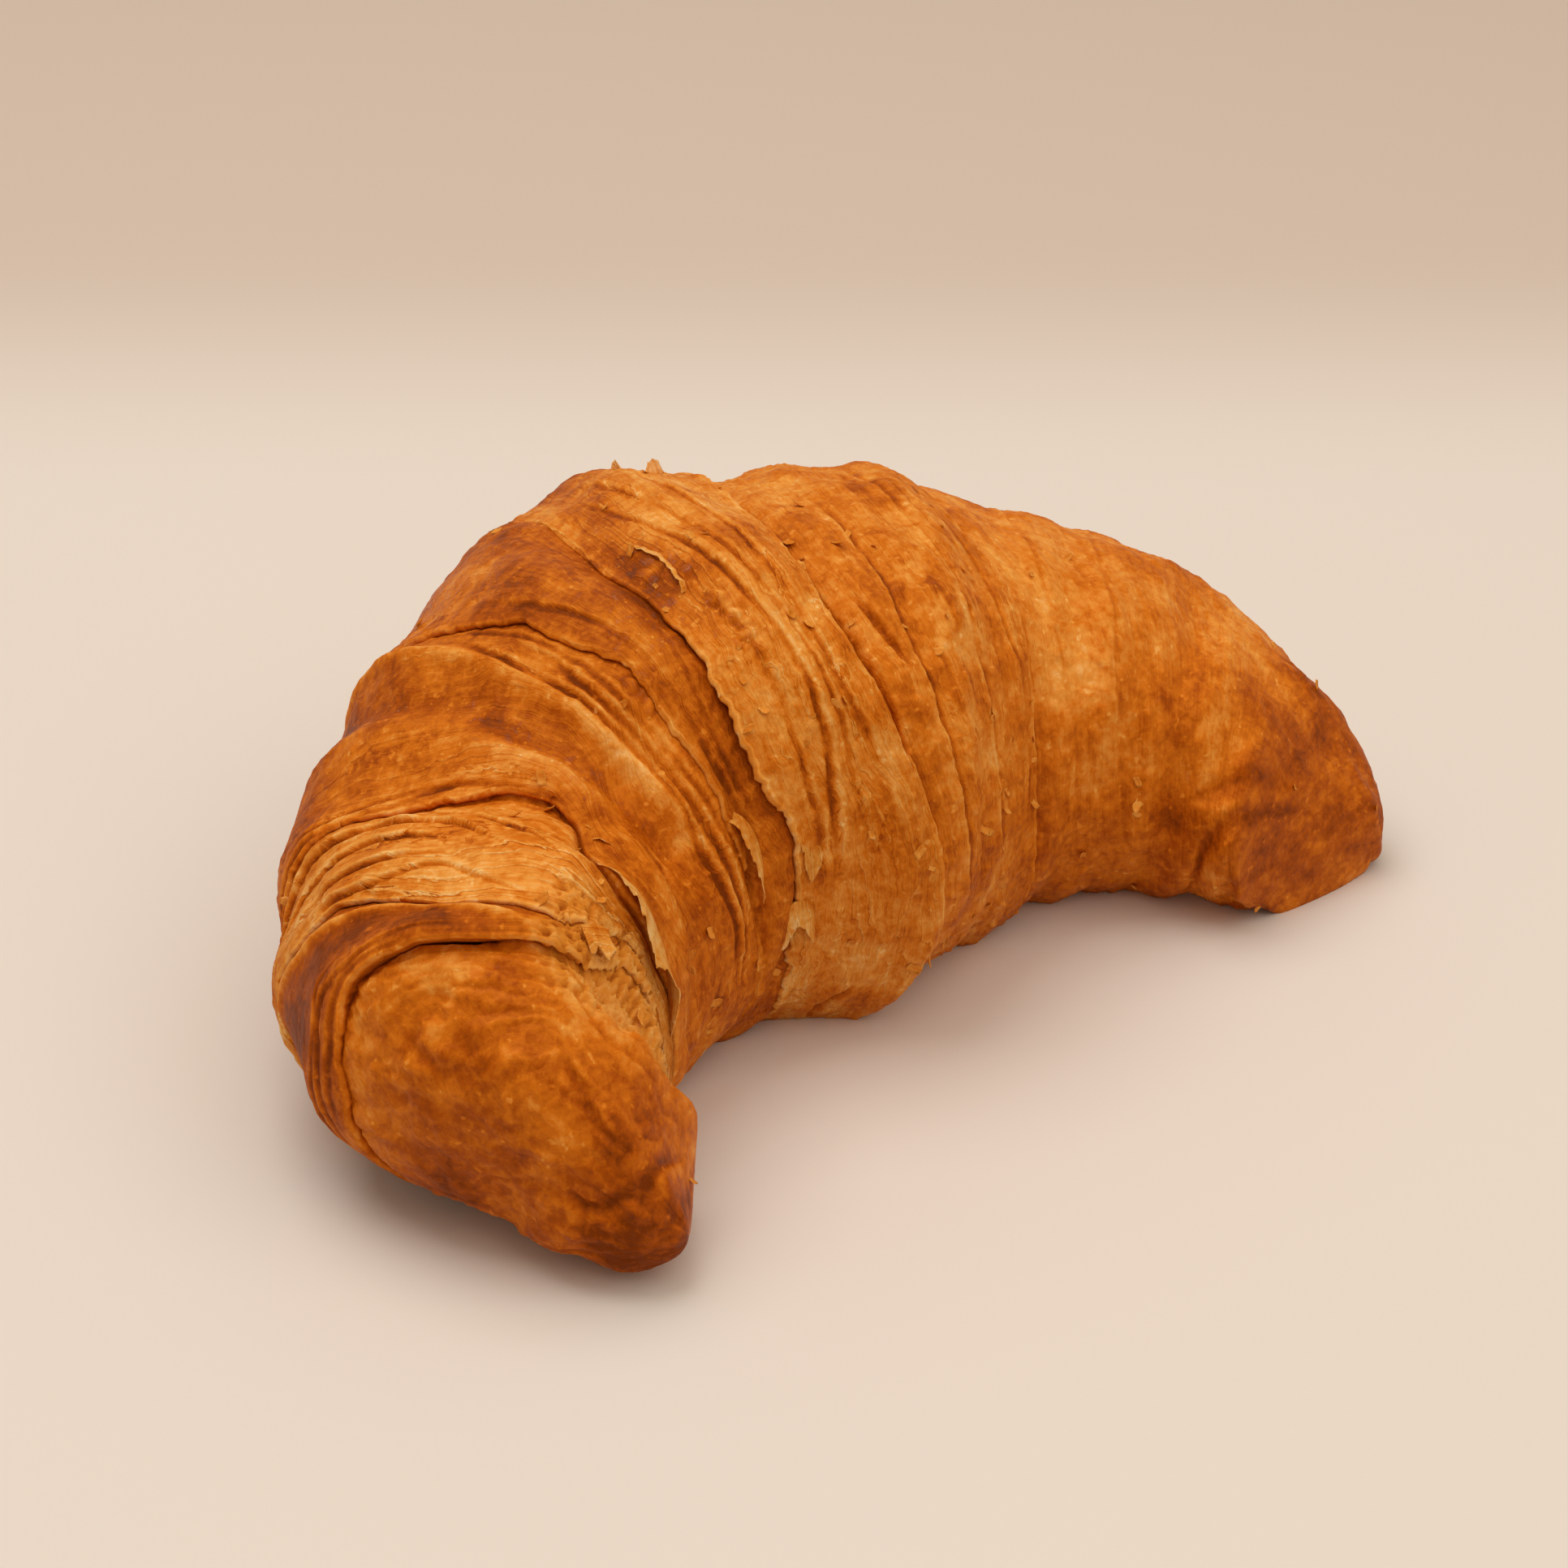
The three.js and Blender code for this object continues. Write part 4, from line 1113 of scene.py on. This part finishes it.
FLAKE_DENSITY = 60000.0  # flakes to a square metre where the crust is flaky all over
FLAKE_SIZES = (0.5, 1.5)  # of the shortest and the longest flake, in mm
FLAKE_SEED = 3
crust = crust_material()
flake = bpy.data.objects.new("flake", flake_mesh())
flake_tree, flake_sockets = scatter_tree(flake)
wraps = []
for number, wrap in enumerate(WRAPS):
    points, look, uv, flaky = wrap_mesh(wrap, (50 + 3 * number, 53 + 3 * number))
    poles = [points[0].mean(0), points[-1].mean(0)]
    for side, end_mm in ((0, -LEFT_ARM), (1, RIGHT_ARM)):
        if wrap["ends"][side] == "tip":
            poles[side] = skin(np.float64(end_mm), np.float64(90), 0.0)
    mesh = grid_mesh(wrap["name"], points, look, uv, np.array(poles))
    wraps.append((mesh, np.concatenate([flaky.ravel(), [0, 0]])))
    add_crust_piece(wrap["name"], mesh)
add_flakes(wraps)
bpy.data.objects.remove(flake)
for number, flap in enumerate(FLAPS):
    add_crust_piece(flap["name"], slab_mesh(flap["name"], *flap_mesh(flap, number)))

# The camera, where the photographer's was
AZIMUTH, ELEVATION = math.radians(-42.7), math.radians(30)
DISTANCE = 0.420  # metres
TARGET = Vector((-1.5 - BOX_CENTRE[0], -10.9 - BOX_CENTRE[1], 25)) * MM
HALF_VIEW = math.radians(12)
back = Vector((
    math.sin(AZIMUTH) * math.cos(ELEVATION),
    -math.cos(AZIMUTH) * math.cos(ELEVATION),
    math.sin(ELEVATION),
))
camera = bpy.data.objects.new("camera", bpy.data.cameras.new("camera"))
camera.data.sensor_width = 36
camera.data.lens = 18 / math.tan(HALF_VIEW)
camera.data.clip_start = 0.01
camera.location = TARGET + back * DISTANCE
camera.rotation_mode = "QUATERNION"
camera.rotation_quaternion = back.to_track_quat("Z", "Y")
bpy.context.scene.collection.objects.link(camera)
bpy.context.scene.camera = camera


FLOOR = 3.0  # half the table top's width, in metres
FLOOR_COLOURS = (srgb(221, 215, 211), srgb(203, 189, 179))
DARKENS = (0.120, 0.225)  # metres behind the croissant over which the table top grows darker

# The lights: name, place and width in metres, power in watts, colour
LIGHTS = (
    ("window", (-0.12, 0.27, 1.0), 0.8, 5.3, (1.0, 0.96, 0.90)),
    ("front_panel", (0.10, -0.60, 0.95), 1.2, 4.4, (1.0, 0.91, 0.80)),
)
SKY = {"Color": (1.0, 0.82, 0.62, 1), "Strength": 0.50}


def table_top():
    """A plain pale table top, a little darker some way behind the croissant."""
    away = Vector((-back.x, -back.y, 0)).normalized()
    mesh = bpy.data.meshes.new("floor")
    corners = [(-FLOOR, -FLOOR, 0), (FLOOR, -FLOOR, 0), (FLOOR, FLOOR, 0), (-FLOOR, FLOOR, 0)]
    mesh.from_pydata(corners, [], [(0, 1, 2, 3)])
    mesh.update()
    n = Nodes("table_top")
    reach = n.add("ShaderNodeVectorMath", operation="DOT_PRODUCT")
    n.join(n.add("ShaderNodeTexCoord").outputs["Object"], reach.inputs[0])
    reach.inputs[1].default_value = away
    behind = n.mapped(reach.outputs["Value"], *DARKENS, 0, 1)
    n.join(n.mix(behind, *FLOOR_COLOURS), n.surface.inputs["Base Color"])
    n.surface.inputs["Roughness"].default_value = 0.7
    floor = add_piece("floor", mesh, n.material)


def area_light(name, place, size, power, colour):
    light = bpy.data.lights.new(name, "AREA")
    light.shape = "DISK"
    light.size = size
    light.energy = power
    light.color = colour
    lamp = bpy.data.objects.new(name, light)
    lamp.location = place
    lamp.rotation_mode = "QUATERNION"
    lamp.rotation_quaternion = (Vector(place) - Vector((0, 0, 0.02))).to_track_quat("Z", "Y")
    bpy.context.scene.collection.objects.link(lamp)


table_top()
for light in LIGHTS:
    area_light(*light)
world = bpy.data.worlds.new("studio")
world.use_nodes = True
for socket, value in SKY.items():
    world.node_tree.nodes["Background"].inputs[socket].default_value = value
bpy.context.scene.world = world
bpy.context.scene.view_settings.view_transform = "Standard"
